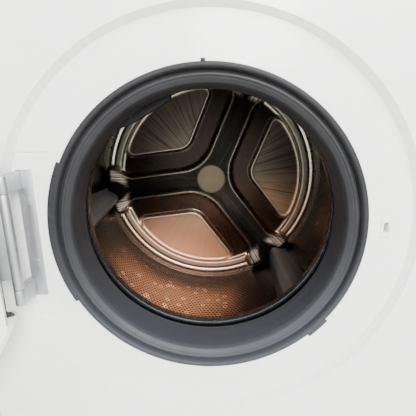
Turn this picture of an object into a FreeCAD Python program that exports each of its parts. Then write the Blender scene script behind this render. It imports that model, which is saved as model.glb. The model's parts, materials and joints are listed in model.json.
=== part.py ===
"""Front load washing machine with its door open.

Millimetres. +X is the machine's right, the front faces -Y, +Z is up.
The origin is on the floor under the middle of the cabinet.
Every piece is one node, written to its own STEP file in parts/.
"""
import FreeCAD, Part
import math
import os

V = FreeCAD.Vector
os.makedirs("parts", exist_ok=True)

# ---- driving dimensions: cabinet -------------------------------------------------
CABINET_W = 598.0          # overall width
CABINET_D = 550.0          # front face to the rear cover's raised face
CABINET_H = 848.0          # floor to worktop
DRUM_Z = 445.0             # height of the drum axis above the floor
SHEET = 1.2                # cabinet sheet steel
PLASTIC = 2.5              # wall of moulded covers
GAP = 1.0                  # shut line between neighbouring covers
PAN_DEPTH = 20.0           # how far the front covers fold back along the sides
PAN_CORNER = 6.0           # rounding of the front covers' upright edges
WORKTOP_T = 28.0
FASCIA_H = 104.0           # control fascia
KICK_TOP = 150.0           # top edge of the kick plate
KICK_BOTTOM = 12.0
BASE_Z = 22.0              # underside of the base frame
BASE_RIM = 20.0            # height of the base frame's upstands
REAR_EMBOSS = 5.0          # how far the rear cover stands out
FOOT_STEM_R = 5.0
FOOT_PAD_R = 19.0
FOOT_PAD_T = 8.0
FOOT_INSET_X = 34.0
FOOT_INSET_Y = 50.0
SCREW_FIT = 0.05           # radial clearance of a stem in its boss

# ---- driving dimensions: wash group ----------------------------------------------
SEAL_LIP_R = 194.0         # outer edge of the door seal's front lip
MOUTH_R = 175.0            # steel collar round the drum's mouth
DRUM_R = 243.8             # outside of the drum wall
DRUM_SHEET = 1.0           # drum wall
DRUM_DEPTH = 292.0         # front seam to the back plate
MOUTH_DEPTH = 76.5         # seal lip to the front of the mouth collar
DRUM_SEAM = 100.0          # seal lip to the front end of the drum wall
TUB_R = 262.0              # outside of the tub
TUB_WALL = 4.0
TUB_FRONT_DEPTH = 75.0     # seal lip to the tub's front wall
TUB_REAR_GAP = 24.0        # drum back plate to the tub's rear wall
STAR_H = 17.0              # how far the arms of the drum back stand out
STAR_HALF_W = 29.0
STAR_LEN = 232.0
STAR_FILLET = 80.0         # rounding between two arms
STAR_ANGLE = 66.7          # first arm, anticlockwise from +X seen from the front
CAP_R = 32.5
LIFTER_LEAD = 3.3          # lifters sit this many degrees past the arms
LIFTER_HALF_W = 44.0
LIFTER_H = 42.0
HOLE_R = 2.5               # drum wall perforation
HOLE_RINGS = 6
HOLES_PER_RING = 36
SHAFT_R = 15.0             # front bearing seat
SHAFT_TAIL_R = 12.5        # rear bearing seat
RUN = 0.05                 # radial clearance of a running fit
PULLEY_R = 140.0
MOTOR_PULLEY_R = 11.0
BELT_T = 3.0
BELT_W = 14.0
BELT_CLEAR = 0.3
MOTOR_X = -90.0
MOTOR_Z = 112.0
MOTOR_R = 58.0
SPRING_X = 205.0
SPRING_Y = 10.0
DAMPER_X = 190.0
DAMPER_Y = 20.0

# ---- driving dimensions: door ----------------------------------------------------
DISH_R = 247.0             # wall of the round recess in the front panel
DISH_DEPTH = 12.0
DOOR_R = 238.0             # outer ring of the door
DOOR_T = 44.0              # door thickness
GLASS_R = 157.5            # glass bowl where it leaves the door
GLASS_DEPTH = 86.0         # bowl beyond the door's back face
HINGE_X = -226.0
HINGE_OUT = 22.0           # hinge pin in front of the cabinet's front face
HINGE_PIN_R = 3.0
OPEN_ANGLE = 150.0         # the door stands open by this much
HOOK_X = 216.0

# ---- places worked out from the above --------------------------------------------
HALF_W = CABINET_W / 2
FRONT_Y = -CABINET_D / 2
BACK_Y = CABINET_D / 2 - REAR_EMBOSS
TOP_Z = CABINET_H - WORKTOP_T
FASCIA_Z = TOP_Z - FASCIA_H
PAN_BACK = FRONT_Y + PAN_DEPTH
FLOOR_Y = FRONT_Y + DISH_DEPTH          # bottom of the recess
LIP_T = 3.0                             # the seal's lip stands this far off it
LIP_Y = FLOOR_Y - LIP_T
BACKPLATE_Y = LIP_Y + DRUM_SEAM + DRUM_DEPTH
TUB_FRONT_Y = LIP_Y + TUB_FRONT_DEPTH
TUB_REAR_Y = BACKPLATE_Y + TUB_REAR_GAP
TUB_SPLIT_Y = -20.0
HUB_END_Y = TUB_REAR_Y + 53.0
PULLEY_Y = HUB_END_Y + 8.0
HINGE_Y = FRONT_Y - HINGE_OUT
DOOR_BACK_Y = FRONT_Y + DISH_DEPTH / 2
DOOR_FRONT_Y = DOOR_BACK_Y - DOOR_T
DOOR_SPLIT_Y = DOOR_BACK_Y - 22.5
ARM_ANGLES = [STAR_ANGLE + 120.0 * k for k in range(3)]
FEET = [(sx * (HALF_W - FOOT_INSET_X), y)
        for y in (FRONT_Y + FOOT_INSET_Y, CABINET_D / 2 - FOOT_INSET_Y + 10.0)
        for sx in (-1, 1)]
AXIS = V(0, 0, DRUM_Z)


# ---- helpers ---------------------------------------------------------------------
def box(x0, x1, y0, y1, z0, z1):
    """A block between two corners."""
    return Part.makeBox(x1 - x0, y1 - y0, z1 - z0, V(x0, y0, z0))


def rod(radius, x, y, z, length, axis):
    """A round bar from a point along +x, +y or +z."""
    way = {"x": V(1, 0, 0), "y": V(0, 1, 0), "z": V(0, 0, 1)}[axis]
    return Part.makeCylinder(radius, length, V(x, y, z), way)


def spun(outline, start=0.0, sweep=360.0, x=0.0, z=DRUM_Z):
    """An (r, y) outline turned about a front-to-back axis.

    Angles run anticlockwise from +X seen from the front.
    """
    wire = Part.makePolygon([V(x + r, y, z) for r, y in outline + outline[:1]])
    face = Part.Face(wire)
    solid = face.revolve(V(x, 0, z), V(0, -1, 0), sweep)
    solid.rotate(V(x, 0, z), V(0, -1, 0), start)
    return solid


def ring(inner, outer, y0, y1, start=0.0, sweep=360.0, x=0.0, z=DRUM_Z):
    """A flat ring, or a sector of one."""
    return spun([(inner, y0), (outer, y0), (outer, y1), (inner, y1)], start, sweep, x, z)


def turned(shape, angle):
    """A shape turned about the drum axis, anticlockwise seen from the front."""
    copy = shape.copy()
    copy.rotate(AXIS, V(0, -1, 0), angle)
    return copy


def opened(shape):
    """A shape of the closed door swung to where the door stands at rest."""
    copy = shape.copy()
    copy.rotate(V(HINGE_X, HINGE_Y, 0), V(0, 0, -1), OPEN_ANGLE)
    return copy


def edges_along(shape, direction, keep=lambda edge: True):
    """Straight edges that run along a direction."""
    found = []
    for edge in shape.Edges:
        if isinstance(edge.Curve, Part.Line):
            if abs(abs(edge.Curve.Direction.dot(direction)) - 1) < 1e-6 and keep(edge):
                found.append(edge)
    return found


def pan(z0, z1, wall, y0=FRONT_Y, y1=PAN_BACK):
    """A front cover: a tray open at the back, with rounded upright edges."""
    outer = box(-HALF_W, HALF_W, y0, y1, z0, z1)
    outer = outer.makeFillet(PAN_CORNER, edges_along(outer, V(0, 0, 1),
                                                     lambda e: e.CenterOfMass.y < y0 + 1))
    inner = box(-HALF_W + wall, HALF_W - wall, y0 + wall, y1, z0 + wall, z1 - wall)
    inner = inner.makeFillet(PAN_CORNER - wall, edges_along(inner, V(0, 0, 1),
                                                            lambda e: e.CenterOfMass.y < y0 + wall + 1))
    return outer.cut(inner)


def pipe(points, radius, bend):
    """A round bar along straight runs joined by tangent arcs of one radius."""
    points = [V(*p) for p in points]
    edges = []
    start = points[0]
    for before, corner, after in zip(points, points[1:], points[2:]):
        way_in = (corner - before).normalize()
        way_out = (after - corner).normalize()
        half_turn = way_in.getAngle(way_out) / 2
        back = bend * math.tan(half_turn)
        enter = corner - way_in * back
        leave = corner + way_out * back
        inside = (way_out - way_in).normalize()
        middle = corner + inside * (bend / math.cos(half_turn) - bend)
        edges.append(Part.LineSegment(start, enter).toShape())
        edges.append(Part.Arc(enter, middle, leave).toShape())
        start = leave
    edges.append(Part.LineSegment(start, points[-1]).toShape())
    path = Part.Wire(edges)
    section = Part.Wire(Part.makeCircle(radius, points[0], points[1] - points[0]))
    return path.makePipeShell([section], True, True)


nodes = {}


def keep(name, *shapes):
    """Store one node; several shapes stay separate solids of that node."""
    nodes[name] = shapes[0] if len(shapes) == 1 else Part.makeCompound(list(shapes))


# ---- cabinet ---------------------------------------------------------------------
SERVICE_X = 190.0
SERVICE_Z0 = 150.0
SERVICE_Z1 = 690.0
VALVE_X = -245.0
VALVE_Z = TOP_Z - 45.0
VALVE_R = 13.2             # thread of the water inlet
MAINS_X = 240.0
MAINS_Z = TOP_Z - 40.0
GLAND_R = 9.0
DRAIN_X = 276.0
DRAIN_Z = 600.0
DRAIN_R = 10.0
SPIGOT_LEN = 18.0          # threaded length of the water inlet
HOLE_CLEAR = 0.4


def make_rear_wall():
    """Rear wall between the sides, with the service opening and three holes for the connections."""
    x1 = HALF_W - SHEET
    wall = box(-x1, x1, BACK_Y - SHEET, BACK_Y, BASE_Z, TOP_Z)
    through = BACK_Y - 2 * SHEET
    wall = wall.cut(box(-SERVICE_X, SERVICE_X, through, BACK_Y + 1, SERVICE_Z0, SERVICE_Z1))
    for radius, x, z in ((VALVE_R, VALVE_X, VALVE_Z), (GLAND_R, MAINS_X, MAINS_Z),
                         (DRAIN_R, DRAIN_X, DRAIN_Z)):
        wall = wall.cut(rod(radius + HOLE_CLEAR, x, through, z, 3 * SHEET, "y"))
    return wall


COVER_LAP = 15.0
SCREW_R = 2.0
SCREW_PLACES = [(sx * (SERVICE_X + COVER_LAP / 2), z)
                for sx in (-1, 1)
                for z in (SERVICE_Z0, (SERVICE_Z0 + SERVICE_Z1) / 2, SERVICE_Z1)]


def make_rear_cover():
    """The service cover on the rear wall, with a raised middle."""
    flat = box(-SERVICE_X - COVER_LAP, SERVICE_X + COVER_LAP, BACK_Y, BACK_Y + SHEET,
               SERVICE_Z0 - COVER_LAP, SERVICE_Z1 + COVER_LAP)
    inset = COVER_LAP
    raised = box(-SERVICE_X + inset, SERVICE_X - inset, BACK_Y, BACK_Y + REAR_EMBOSS,
                 SERVICE_Z0 + inset, SERVICE_Z1 - inset)
    raised = raised.makeFillet(30.0, edges_along(raised, V(0, 1, 0)))
    inset += SHEET
    hollow = box(-SERVICE_X + inset, SERVICE_X - inset, BACK_Y - 1, BACK_Y + REAR_EMBOSS - SHEET,
                 SERVICE_Z0 + inset, SERVICE_Z1 - inset)
    hollow = hollow.makeFillet(30.0 - SHEET, edges_along(hollow, V(0, 1, 0)))
    cover = flat.fuse(raised).cut(hollow)
    for x, z in SCREW_PLACES:
        cover = cover.cut(rod(SCREW_R + 0.2, x, BACK_Y - 1, z, SHEET + 2, "y"))
    return cover.removeSplitter()


rear_wall = make_rear_wall()
screws = []
for x, z in SCREW_PLACES:
    rear_wall = rear_wall.cut(rod(SCREW_R + 0.2, x, BACK_Y - 2 * SHEET, z, 3 * SHEET, "y"))
    shank = rod(SCREW_R, x, BACK_Y - 8, z, 8 + SHEET, "y")
    head = rod(4.5, x, BACK_Y + SHEET, z, 2.4, "y")
    screws.append(shank.fuse(head))
keep("side_panel_left", box(-HALF_W, -HALF_W + SHEET, PAN_BACK, BACK_Y, BASE_Z, TOP_Z))
keep("side_panel_right", box(HALF_W - SHEET, HALF_W, PAN_BACK, BACK_Y, BASE_Z, TOP_Z))
keep("rear_wall", rear_wall)
keep("rear_cover", make_rear_cover())
keep("cabinet_screws", *screws)

BASE_OPEN_X = 168.0
BOSS_R = 12.0
BOSS_TOP = 60.0


def make_base_frame():
    """Pressed base: a floor ring with upstands and a threaded boss for each foot."""
    x1 = HALF_W - SHEET - 0.2
    y0 = PAN_BACK
    y1 = BACK_Y - SHEET - 0.2
    wall = 1.5
    tray = box(-x1, x1, y0, y1, BASE_Z, BASE_Z + BASE_RIM)
    tray = tray.cut(box(-x1 + wall, x1 - wall, y0 + wall, y1 - wall, BASE_Z + wall, BASE_Z + 2 * BASE_RIM))
    rim = box(-BASE_OPEN_X - wall, BASE_OPEN_X + wall, y0 + 40, y1 - 40, BASE_Z, BASE_Z + BASE_RIM)
    opening = box(-BASE_OPEN_X, BASE_OPEN_X, y0 + 40 + wall, y1 - 40 - wall,
                  BASE_Z - 1, BASE_Z + 2 * BASE_RIM)
    tray = tray.fuse(rim).cut(opening)
    for x, y in FEET:
        tray = tray.fuse(rod(BOSS_R, x, y, BASE_Z, BOSS_TOP - BASE_Z, "z"))
    for x, y in FEET:
        tray = tray.cut(rod(FOOT_STEM_R + SCREW_FIT, x, y, BASE_Z - 1, BOSS_TOP, "z"))
    return tray.removeSplitter()


keep("base_frame", make_base_frame())
for number, (x, y) in enumerate(FEET, start=1):
    pad = rod(FOOT_PAD_R, x, y, 0, FOOT_PAD_T, "z")
    nut = rod(9.0, x, y, FOOT_PAD_T, 5.0, "z")
    stem = rod(FOOT_STEM_R, x, y, FOOT_PAD_T, BOSS_TOP - FOOT_PAD_T - 4.0, "z")
    keep("foot_%d" % number, pad.fuse([nut, stem]))


def make_worktop():
    """A laminated board with rounded edges."""
    board = box(-HALF_W, HALF_W, FRONT_Y, BACK_Y + REAR_EMBOSS, TOP_Z, CABINET_H)
    board = board.makeFillet(8.0, edges_along(board, V(0, 0, 1)))
    top = [e for e in board.Edges if e.BoundBox.ZMin > CABINET_H - 0.01]
    return board.makeFillet(3.0, top)


keep("worktop", make_worktop())

BRACE_Y0 = SPRING_Y - 25.0
BRACE_Y1 = SPRING_Y + 25.0
BRACE_Z = TOP_Z - 30.0


def make_top_brace():
    """Closed box beam across the cabinet that the springs hang from."""
    x1 = HALF_W - SHEET - 0.2
    beam = box(-x1, x1, BRACE_Y0, BRACE_Y1, BRACE_Z, TOP_Z)
    return beam.cut(box(-x1 - 1, x1 + 1, BRACE_Y0 + 1.5, BRACE_Y1 - 1.5, BRACE_Z + 1.5, TOP_Z - 1.5))


keep("top_brace", make_top_brace())

# ---- front panel with its dish, hinge pad and latch slot --------------------------
HEM_R = 190.0              # the panel's rolled hem, which the seal grips
HEM_LEN = 11.0
PAD_DEPTH = 1.5            # shallow pad under the hinge bracket
PAD_LOW = -113.0           # pad's lower and upper ends from the drum axis
PAD_HIGH = 99.0
PAD_R = 470.0              # the pad's inner border is an arc of this radius
PAD_X = -199.0             # where that arc comes nearest the seal
SLOT_W = 11.0              # latch slot
SLOT_LOW = -12.0
SLOT_HIGH = 11.0


def make_pad(depth, grow):
    """The stretch of the dish's floor that is pressed in under the hinge."""
    low = DRUM_Z + PAD_LOW - grow
    high = DRUM_Z + PAD_HIGH + grow
    strip = box(-DISH_R, -150, FLOOR_Y, FLOOR_Y + depth, low, high)
    arc = rod(PAD_R - grow, PAD_X + PAD_R, FLOOR_Y - 1, DRUM_Z - 9, depth + 2, "y")
    return strip.cut(arc).common(ring(HEM_R + 4 - grow, DISH_R, FLOOR_Y - 1, FLOOR_Y + depth + 1))


def make_front_panel():
    """Sheet front with a round recess, rolled in at the seal."""
    panel = pan(KICK_TOP + GAP, FASCIA_Z - GAP, SHEET)
    rim_r = DISH_R + 5.0
    panel = panel.cut(rod(rim_r, 0, FRONT_Y - 1, DRUM_Z, 5, "y"))
    dish = spun([(rim_r, FRONT_Y), (DISH_R, FLOOR_Y), (HEM_R, FLOOR_Y),
                 (HEM_R, FLOOR_Y + HEM_LEN), (HEM_R + SHEET, FLOOR_Y + HEM_LEN),
                 (HEM_R + SHEET, FLOOR_Y + SHEET), (DISH_R + SHEET, FLOOR_Y + SHEET),
                 (rim_r + SHEET, FRONT_Y + SHEET), (rim_r + SHEET, FRONT_Y)])
    dish = dish.fuse(make_pad(PAD_DEPTH + SHEET, SHEET)).cut(make_pad(PAD_DEPTH, 0.0))
    panel = panel.fuse(dish)
    slot = box(HOOK_X - 1 - SLOT_W / 2, HOOK_X - 1 + SLOT_W / 2, FRONT_Y - 1, FLOOR_Y + 4,
               DRUM_Z + SLOT_LOW, DRUM_Z + SLOT_HIGH)
    return panel.cut(slot)


keep("front_panel", make_front_panel())

# ---- door lock, hinge bracket -----------------------------------------------------
LOCK_CLEAR = 0.3


def make_door_lock():
    """Lock case behind the panel, its nose filling the latch slot."""
    x0 = HOOK_X - 1 - SLOT_W / 2 + LOCK_CLEAR
    x1 = HOOK_X - 1 + SLOT_W / 2 - LOCK_CLEAR
    nose = box(x0, x1, FLOOR_Y - 0.4, FLOOR_Y + 6, DRUM_Z + SLOT_LOW + LOCK_CLEAR,
               DRUM_Z + SLOT_HIGH - LOCK_CLEAR)
    case = box(HOOK_X - 12, HOOK_X + 34, FLOOR_Y + SHEET + 0.2, FLOOR_Y + 30, DRUM_Z - 38, DRUM_Z + 34)
    mouth = box(HOOK_X - 3, HOOK_X + 3, FLOOR_Y - 1, FLOOR_Y + 18, DRUM_Z - 5, DRUM_Z + 7.5)
    return nose.fuse(case).cut(mouth)


keep("door_lock", make_door_lock())

BRACKET_X1 = -210.0
POSTS = ((-80.0, -60.0), (56.0, 76.0))      # heights of the two knuckle posts
BARREL_R = 6.0


def make_hinge_bracket():
    """Leaf on the pad, two posts and the hinge pin."""
    y_leaf = FLOOR_Y + PAD_DEPTH
    leaf = box(HINGE_X - 2, BRACKET_X1, y_leaf - 2.5, y_leaf, DRUM_Z - 85, DRUM_Z + 78)
    bracket = leaf
    for low, high in POSTS:
        post = box(HINGE_X - 5, HINGE_X + 5, HINGE_Y, y_leaf, DRUM_Z + low, DRUM_Z + high)
        knuckle = rod(BARREL_R, HINGE_X, HINGE_Y, DRUM_Z + low, high - low, "z")
        bracket = bracket.fuse([post, knuckle])
    pin = rod(HINGE_PIN_R, HINGE_X, HINGE_Y, DRUM_Z + POSTS[0][0], POSTS[1][1] - POSTS[0][0], "z")
    for z in (-40.0, 39.0):
        screw = rod(5.0, -217.5, y_leaf - 4.0, DRUM_Z + z, 3.0, "y")
        bracket = bracket.fuse(screw)
    return bracket.fuse(pin).removeSplitter()


keep("hinge_bracket", make_hinge_bracket())

# ---- door seal --------------------------------------------------------------------
NECK_R = 188.0             # outside of the tub's neck, which the seal's rear end grips
SEAL_TIP_R = 169.0         # inner lip, just in front of the mouth collar


def make_door_seal():
    """Rubber bellows from the panel's hem to the tub's neck."""
    lip = SEAL_LIP_R
    hem = HEM_R
    tip = SEAL_TIP_R
    neck_y = TUB_FRONT_DEPTH - 24.0
    profile = [
        (lip, 0.8), (lip - 1, 0), (lip - 5.4, 0), (lip - 6.8, 2), (lip - 7.6, 9),
        (lip - 9.4, 9), (lip - 10.6, 5), (lip - 13.5, 3.4), (lip - 17, 4.6),
        (tip + 3.5, 9), (tip + 1.5, 14), (tip, 54), (tip + 2.5, 54), (tip + 4.4, 18),
        (tip + 7.5, 13.5), (hem - 8.5, 12), (hem - 8.5, 34), (NECK_R + 9.5, 38),
        (NECK_R + 9.5, 42), (NECK_R, 46), (NECK_R, neck_y + 15), (NECK_R + 3.5, neck_y + 15),
        (NECK_R + 3.5, 49), (NECK_R + 13, 45), (NECK_R + 13, 35), (hem - 5, 31),
        (hem - 5, 24), (hem + 5, 22), (hem + 5, 8), (hem + SHEET + 0.1, 8),
        (hem + SHEET + 0.1, LIP_T + HEM_LEN + 0.1), (hem - 0.1, LIP_T + HEM_LEN + 0.1),
        (hem - 0.1, LIP_T), (lip, LIP_T),
    ]
    seal = spun([(r, LIP_Y + y) for r, y in profile])
    thick = ring(lip - 1, lip + 3.5, LIP_Y, LIP_Y + LIP_T, 154.6, 53.2)
    return seal.fuse(thick)


keep("door_seal", make_door_seal())


def make_spray_nozzle():
    """Moulded jet nozzle held in the seal's upper left, just behind its inner lip."""
    outer_r = MOUTH_R - 2.0
    y0 = LIP_Y + 57.0
    y1 = LIP_Y + MOUTH_DEPTH - 3.0
    corners = ((139.5, outer_r + 4), (127.0, SEAL_TIP_R - 7.0),
               (106.5, SEAL_TIP_R - 5.0), (105.5, outer_r + 4))
    points = [V(r * math.cos(math.radians(a)), y0, DRUM_Z + r * math.sin(math.radians(a)))
              for a, r in corners]
    prism = Part.Face(Part.makePolygon(points + points[:1])).extrude(V(0, y1 - y0, 0))
    return prism.common(rod(outer_r, 0, y0, DRUM_Z, y1 - y0, "y"))


keep("spray_nozzle", make_spray_nozzle())

# ---- control fascia, drawer, buttons ----------------------------------------------
DRAWER_X0 = -286.0
DRAWER_X1 = -98.0
DRAWER_Z0 = FASCIA_Z + 13.0
DRAWER_Z1 = TOP_Z - 13.0
HOUSING_BACK = -45.0
KNOB_X = 25.0
KNOB_Z = FASCIA_Z + 54.0
KNOB_R = 24.0
KNOB_SHAFT_R = 3.0
WINDOW_X0 = 100.0
WINDOW_X1 = 225.0
WINDOW_Z0 = FASCIA_Z + 32.0
WINDOW_Z1 = FASCIA_Z + 80.0
START_X = 260.0
START_Z = KNOB_Z
START_R = 10.0
OPTION_X = 162.0
OPTION_Z = FASCIA_Z + 17.0
OPTION_R = 6.0
BUTTON_CLEAR = 0.3
BUTTON_TRAVEL = 2.0


def make_fascia():
    """Control fascia with its openings."""
    fascia = pan(FASCIA_Z, TOP_Z, PLASTIC)
    deep = FRONT_Y + PLASTIC + 1
    fascia = fascia.cut(box(DRAWER_X0 - GAP, DRAWER_X1 + GAP, FRONT_Y - 1, deep,
                            DRAWER_Z0 - GAP, DRAWER_Z1 + GAP))
    fascia = fascia.cut(box(WINDOW_X0, WINDOW_X1, FRONT_Y - 1, deep, WINDOW_Z0, WINDOW_Z1))
    for x, z, r in ((KNOB_X, KNOB_Z, KNOB_SHAFT_R + 1.0), (START_X, START_Z, START_R + BUTTON_CLEAR),
                    (OPTION_X, OPTION_Z, OPTION_R + BUTTON_CLEAR)):
        fascia = fascia.cut(rod(r, x, FRONT_Y - 1, z, PLASTIC + 2, "y"))
    return fascia


keep("control_fascia", make_fascia())
keep("display_window", box(WINDOW_X0 + 0.2, WINDOW_X1 - 0.2, FRONT_Y, FRONT_Y + PLASTIC,
                           WINDOW_Z0 + 0.2, WINDOW_Z1 - 0.2))

MODULE_Y0 = FRONT_Y + 20.0
MODULE_Y1 = MODULE_Y0 + 22.0


def make_module():
    """Electronics case behind the fascia, bored for the knob's shaft."""
    case = box(-20, HALF_W - 12, MODULE_Y0, MODULE_Y1, FASCIA_Z + 6, TOP_Z - 6)
    return case.cut(rod(KNOB_SHAFT_R + RUN, KNOB_X, MODULE_Y0 - 1, KNOB_Z, 16, "y"))


keep("control_module", make_module())


def make_knob():
    """Round knob with a flared skirt and a pointer ridge, on its shaft."""
    y1 = FRONT_Y - 1.5
    grip = spun([(0, y1 - 20), (KNOB_R - 5, y1 - 20), (KNOB_R - 3, y1 - 18), (KNOB_R - 1.5, y1 - 4),
                 (KNOB_R, y1 - 3), (KNOB_R, y1), (0, y1)], x=KNOB_X, z=KNOB_Z)
    ridge = box(KNOB_X - 1.5, KNOB_X + 1.5, y1 - 21.5, y1 - 19, KNOB_Z + 4, KNOB_Z + KNOB_R - 6)
    shaft = rod(KNOB_SHAFT_R, KNOB_X, y1 - 1, KNOB_Z, MODULE_Y0 + 13 - y1, "y")
    return grip.fuse([ridge, shaft]).removeSplitter()


keep("program_knob", make_knob())


def make_button(x, z, radius):
    """A round push button with a chamfered rim and a retaining collar."""
    y0 = FRONT_Y - 3.5
    y1 = MODULE_Y0 - BUTTON_TRAVEL - 2.0
    cap = spun([(0, y0), (radius - 1, y0), (radius, y0 + 1), (radius, y1), (0, y1)], x=x, z=z)
    collar = ring(radius - 0.5, radius + 2, FRONT_Y + PLASTIC + 0.2, FRONT_Y + PLASTIC + 2.2, x=x, z=z)
    return cap.fuse(collar).removeSplitter()


keep("start_button", make_button(START_X, START_Z, START_R))
keep("option_button", make_button(OPTION_X, OPTION_Z, OPTION_R))


def make_drawer():
    """Detergent drawer: front with a finger hold, and a tray of three wells."""
    front = box(DRAWER_X0, DRAWER_X1, FRONT_Y - 2, FRONT_Y + 4, DRAWER_Z0, DRAWER_Z1)
    front = front.makeFillet(1.5, [e for e in front.Edges if e.BoundBox.YMax < FRONT_Y - 1.9])
    hold = box(DRAWER_X0 + 55, DRAWER_X1 - 55, FRONT_Y - 3, FRONT_Y + 1.5, DRAWER_Z0 + 8, DRAWER_Z0 + 26)
    front = front.cut(hold.makeFillet(4.0, edges_along(hold, V(0, 1, 0))))
    x0 = DRAWER_X0 + 8
    x1 = DRAWER_X1 - 8
    z0 = DRAWER_Z0 + 6
    z1 = DRAWER_Z1 - 16
    tray = box(x0, x1, FRONT_Y + 4, HOUSING_BACK - 8, z0, z1)
    wall = 2.0
    wells = (x1 - x0 - 4 * wall) / 3
    for k in range(3):
        left = x0 + wall + k * (wells + wall)
        tray = tray.cut(box(left, left + wells, FRONT_Y + 4 + wall, HOUSING_BACK - 8 - wall,
                            z0 + wall, z1 + 1))
    return front.fuse(tray).removeSplitter()


keep("detergent_drawer", make_drawer())

OUTLET_X = -150.0
OUTLET_Y = -75.0
OUTLET_R = 15.0
SUMP_R = 20.0              # sump outlet and pump inlet spigots
SUMP_LEN = 20.0


def make_housing():
    """Box that the drawer slides in, with the outlet spout under it."""
    x0 = DRAWER_X0 + 2
    x1 = DRAWER_X1 - 2
    z0 = DRAWER_Z0 - 3
    z1 = TOP_Z - 4
    case = box(x0, x1, PAN_BACK, HOUSING_BACK, z0, z1)
    spout = rod(OUTLET_R, OUTLET_X, OUTLET_Y, z0 - 14, 16, "z")
    case = case.fuse(spout)
    hollow = box(x0 + PLASTIC, x1 - PLASTIC, PAN_BACK - 1, HOUSING_BACK - PLASTIC,
                 z0 + PLASTIC, z1 - PLASTIC)
    drain = rod(OUTLET_R - PLASTIC, OUTLET_X, OUTLET_Y, z0 - 15, 25, "z")
    return case.cut(hollow).cut(drain)


keep("dispenser_housing", make_housing())
SPOUT_Z = DRAWER_Z0 - 17.0


def make_inlet_valve():
    """Solenoid valve at the rear, its thread outside, its pipe to the dispenser."""
    body = box(VALVE_X - 22, VALVE_X + 22, BACK_Y - 46, BACK_Y - SHEET - 1, VALVE_Z - 20, VALVE_Z + 18)
    neck = rod(VALVE_R - 1.5, VALVE_X, BACK_Y - SHEET - 2, VALVE_Z, SHEET + 3, "y")
    thread = rod(VALVE_R, VALVE_X, BACK_Y + 1, VALVE_Z, SPIGOT_LEN, "y")
    bore = rod(VALVE_R - 4, VALVE_X, BACK_Y + 4, VALVE_Z, 30, "y")
    feed = rod(6.0, VALVE_X, HOUSING_BACK, VALVE_Z, BACK_Y - 46 - HOUSING_BACK + 1, "y")
    coil = rod(14.0, VALVE_X, BACK_Y - 26, VALVE_Z - 52, 34, "z")
    solid = body.fuse([neck, thread, feed, coil])
    return solid.cut(bore).removeSplitter()


keep("inlet_valve", make_inlet_valve())


def make_mains_inlet():
    """Terminal block inside the rear wall with the gland for the mains lead."""
    block = box(MAINS_X - 25, MAINS_X + 25, BACK_Y - 28, BACK_Y - SHEET - 0.2, MAINS_Z - 20, MAINS_Z + 20)
    gland = rod(GLAND_R, MAINS_X, BACK_Y - SHEET - 1, MAINS_Z, 14, "y")
    return block.fuse(gland).cut(rod(4.0, MAINS_X, BACK_Y - 20, MAINS_Z, 40, "y"))


keep("mains_inlet", make_mains_inlet())

# ---- kick plate, filter flap, pump -------------------------------------------------
FILTER_X = 200.0
FILTER_Z = 84.0
FILTER_R = 30.0
FLAP_HALF_W = 44.0
FLAP_Z0 = FILTER_Z - 43.0
FLAP_Z1 = FILTER_Z + 43.0


def make_kick_plate():
    """Plinth cover with the opening of the filter flap."""
    kick = pan(KICK_BOTTOM, KICK_TOP, PLASTIC)
    return kick.cut(box(FILTER_X - FLAP_HALF_W - GAP, FILTER_X + FLAP_HALF_W + GAP, FRONT_Y - 1,
                        FRONT_Y + PLASTIC + 1, FLAP_Z0 - GAP, FLAP_Z1 + GAP))


keep("kick_plate", make_kick_plate())


def make_flap():
    """Flap hinged along its lower edge, with a coin slot near the top."""
    flap = box(FILTER_X - FLAP_HALF_W, FILTER_X + FLAP_HALF_W, FRONT_Y, FRONT_Y + 3, FLAP_Z0, FLAP_Z1)
    slot = box(FILTER_X - 9, FILTER_X + 9, FRONT_Y - 1, FRONT_Y + 1.2, FLAP_Z1 - 12, FLAP_Z1 - 7)
    return flap.cut(slot)


keep("filter_flap", make_flap())

PUMP_X = 165.0
PUMP_Y = -95.0
HOUSE_FRONT = FRONT_Y + 12.0


def make_drain_pump():
    """Filter tube to the front, volute and motor behind, spigots up and to the side."""
    tube = rod(FILTER_R + 4, FILTER_X, HOUSE_FRONT, FILTER_Z, 135, "y")
    volute = box(PUMP_X - 25, FILTER_X + 38, -132, -58, 48, 118)
    inlet = rod(SUMP_R, PUMP_X, PUMP_Y, 116, 14, "z")
    outlet = rod(8.0, FILTER_X + 30, -80, 72, 14, "x")
    motor = rod(24.0, FILTER_X, -60, FILTER_Z, 60, "y")
    pump = tube.fuse([volute, inlet, outlet, motor])
    pump = pump.cut(rod(FILTER_R, FILTER_X, HOUSE_FRONT - 1, FILTER_Z, 122, "y"))
    return pump.cut(rod(SUMP_R - 4, PUMP_X, PUMP_Y, 100, 40, "z")).removeSplitter()


keep("drain_pump", make_drain_pump())


def make_filter():
    """Screw-in lint filter with a bar to turn it by."""
    plug = rod(FILTER_R - 0.5, FILTER_X, HOUSE_FRONT - 3, FILTER_Z, 10, "y")
    basket = rod(FILTER_R - 6, FILTER_X, HOUSE_FRONT + 6, FILTER_Z, 90, "y")
    basket = basket.cut(rod(FILTER_R - 9, FILTER_X, HOUSE_FRONT + 12, FILTER_Z, 90, "y"))
    for k in range(3):
        y = HOUSE_FRONT + 30 + 24 * k
        basket = basket.cut(box(FILTER_X - 40, FILTER_X + 40, y, y + 12, FILTER_Z - 8, FILTER_Z + 8))
    bar = box(FILTER_X - 22, FILTER_X + 22, HOUSE_FRONT - 8, HOUSE_FRONT - 2, FILTER_Z - 3, FILTER_Z + 3)
    return plug.fuse([basket, bar]).removeSplitter()


keep("pump_filter", make_filter())


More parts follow.
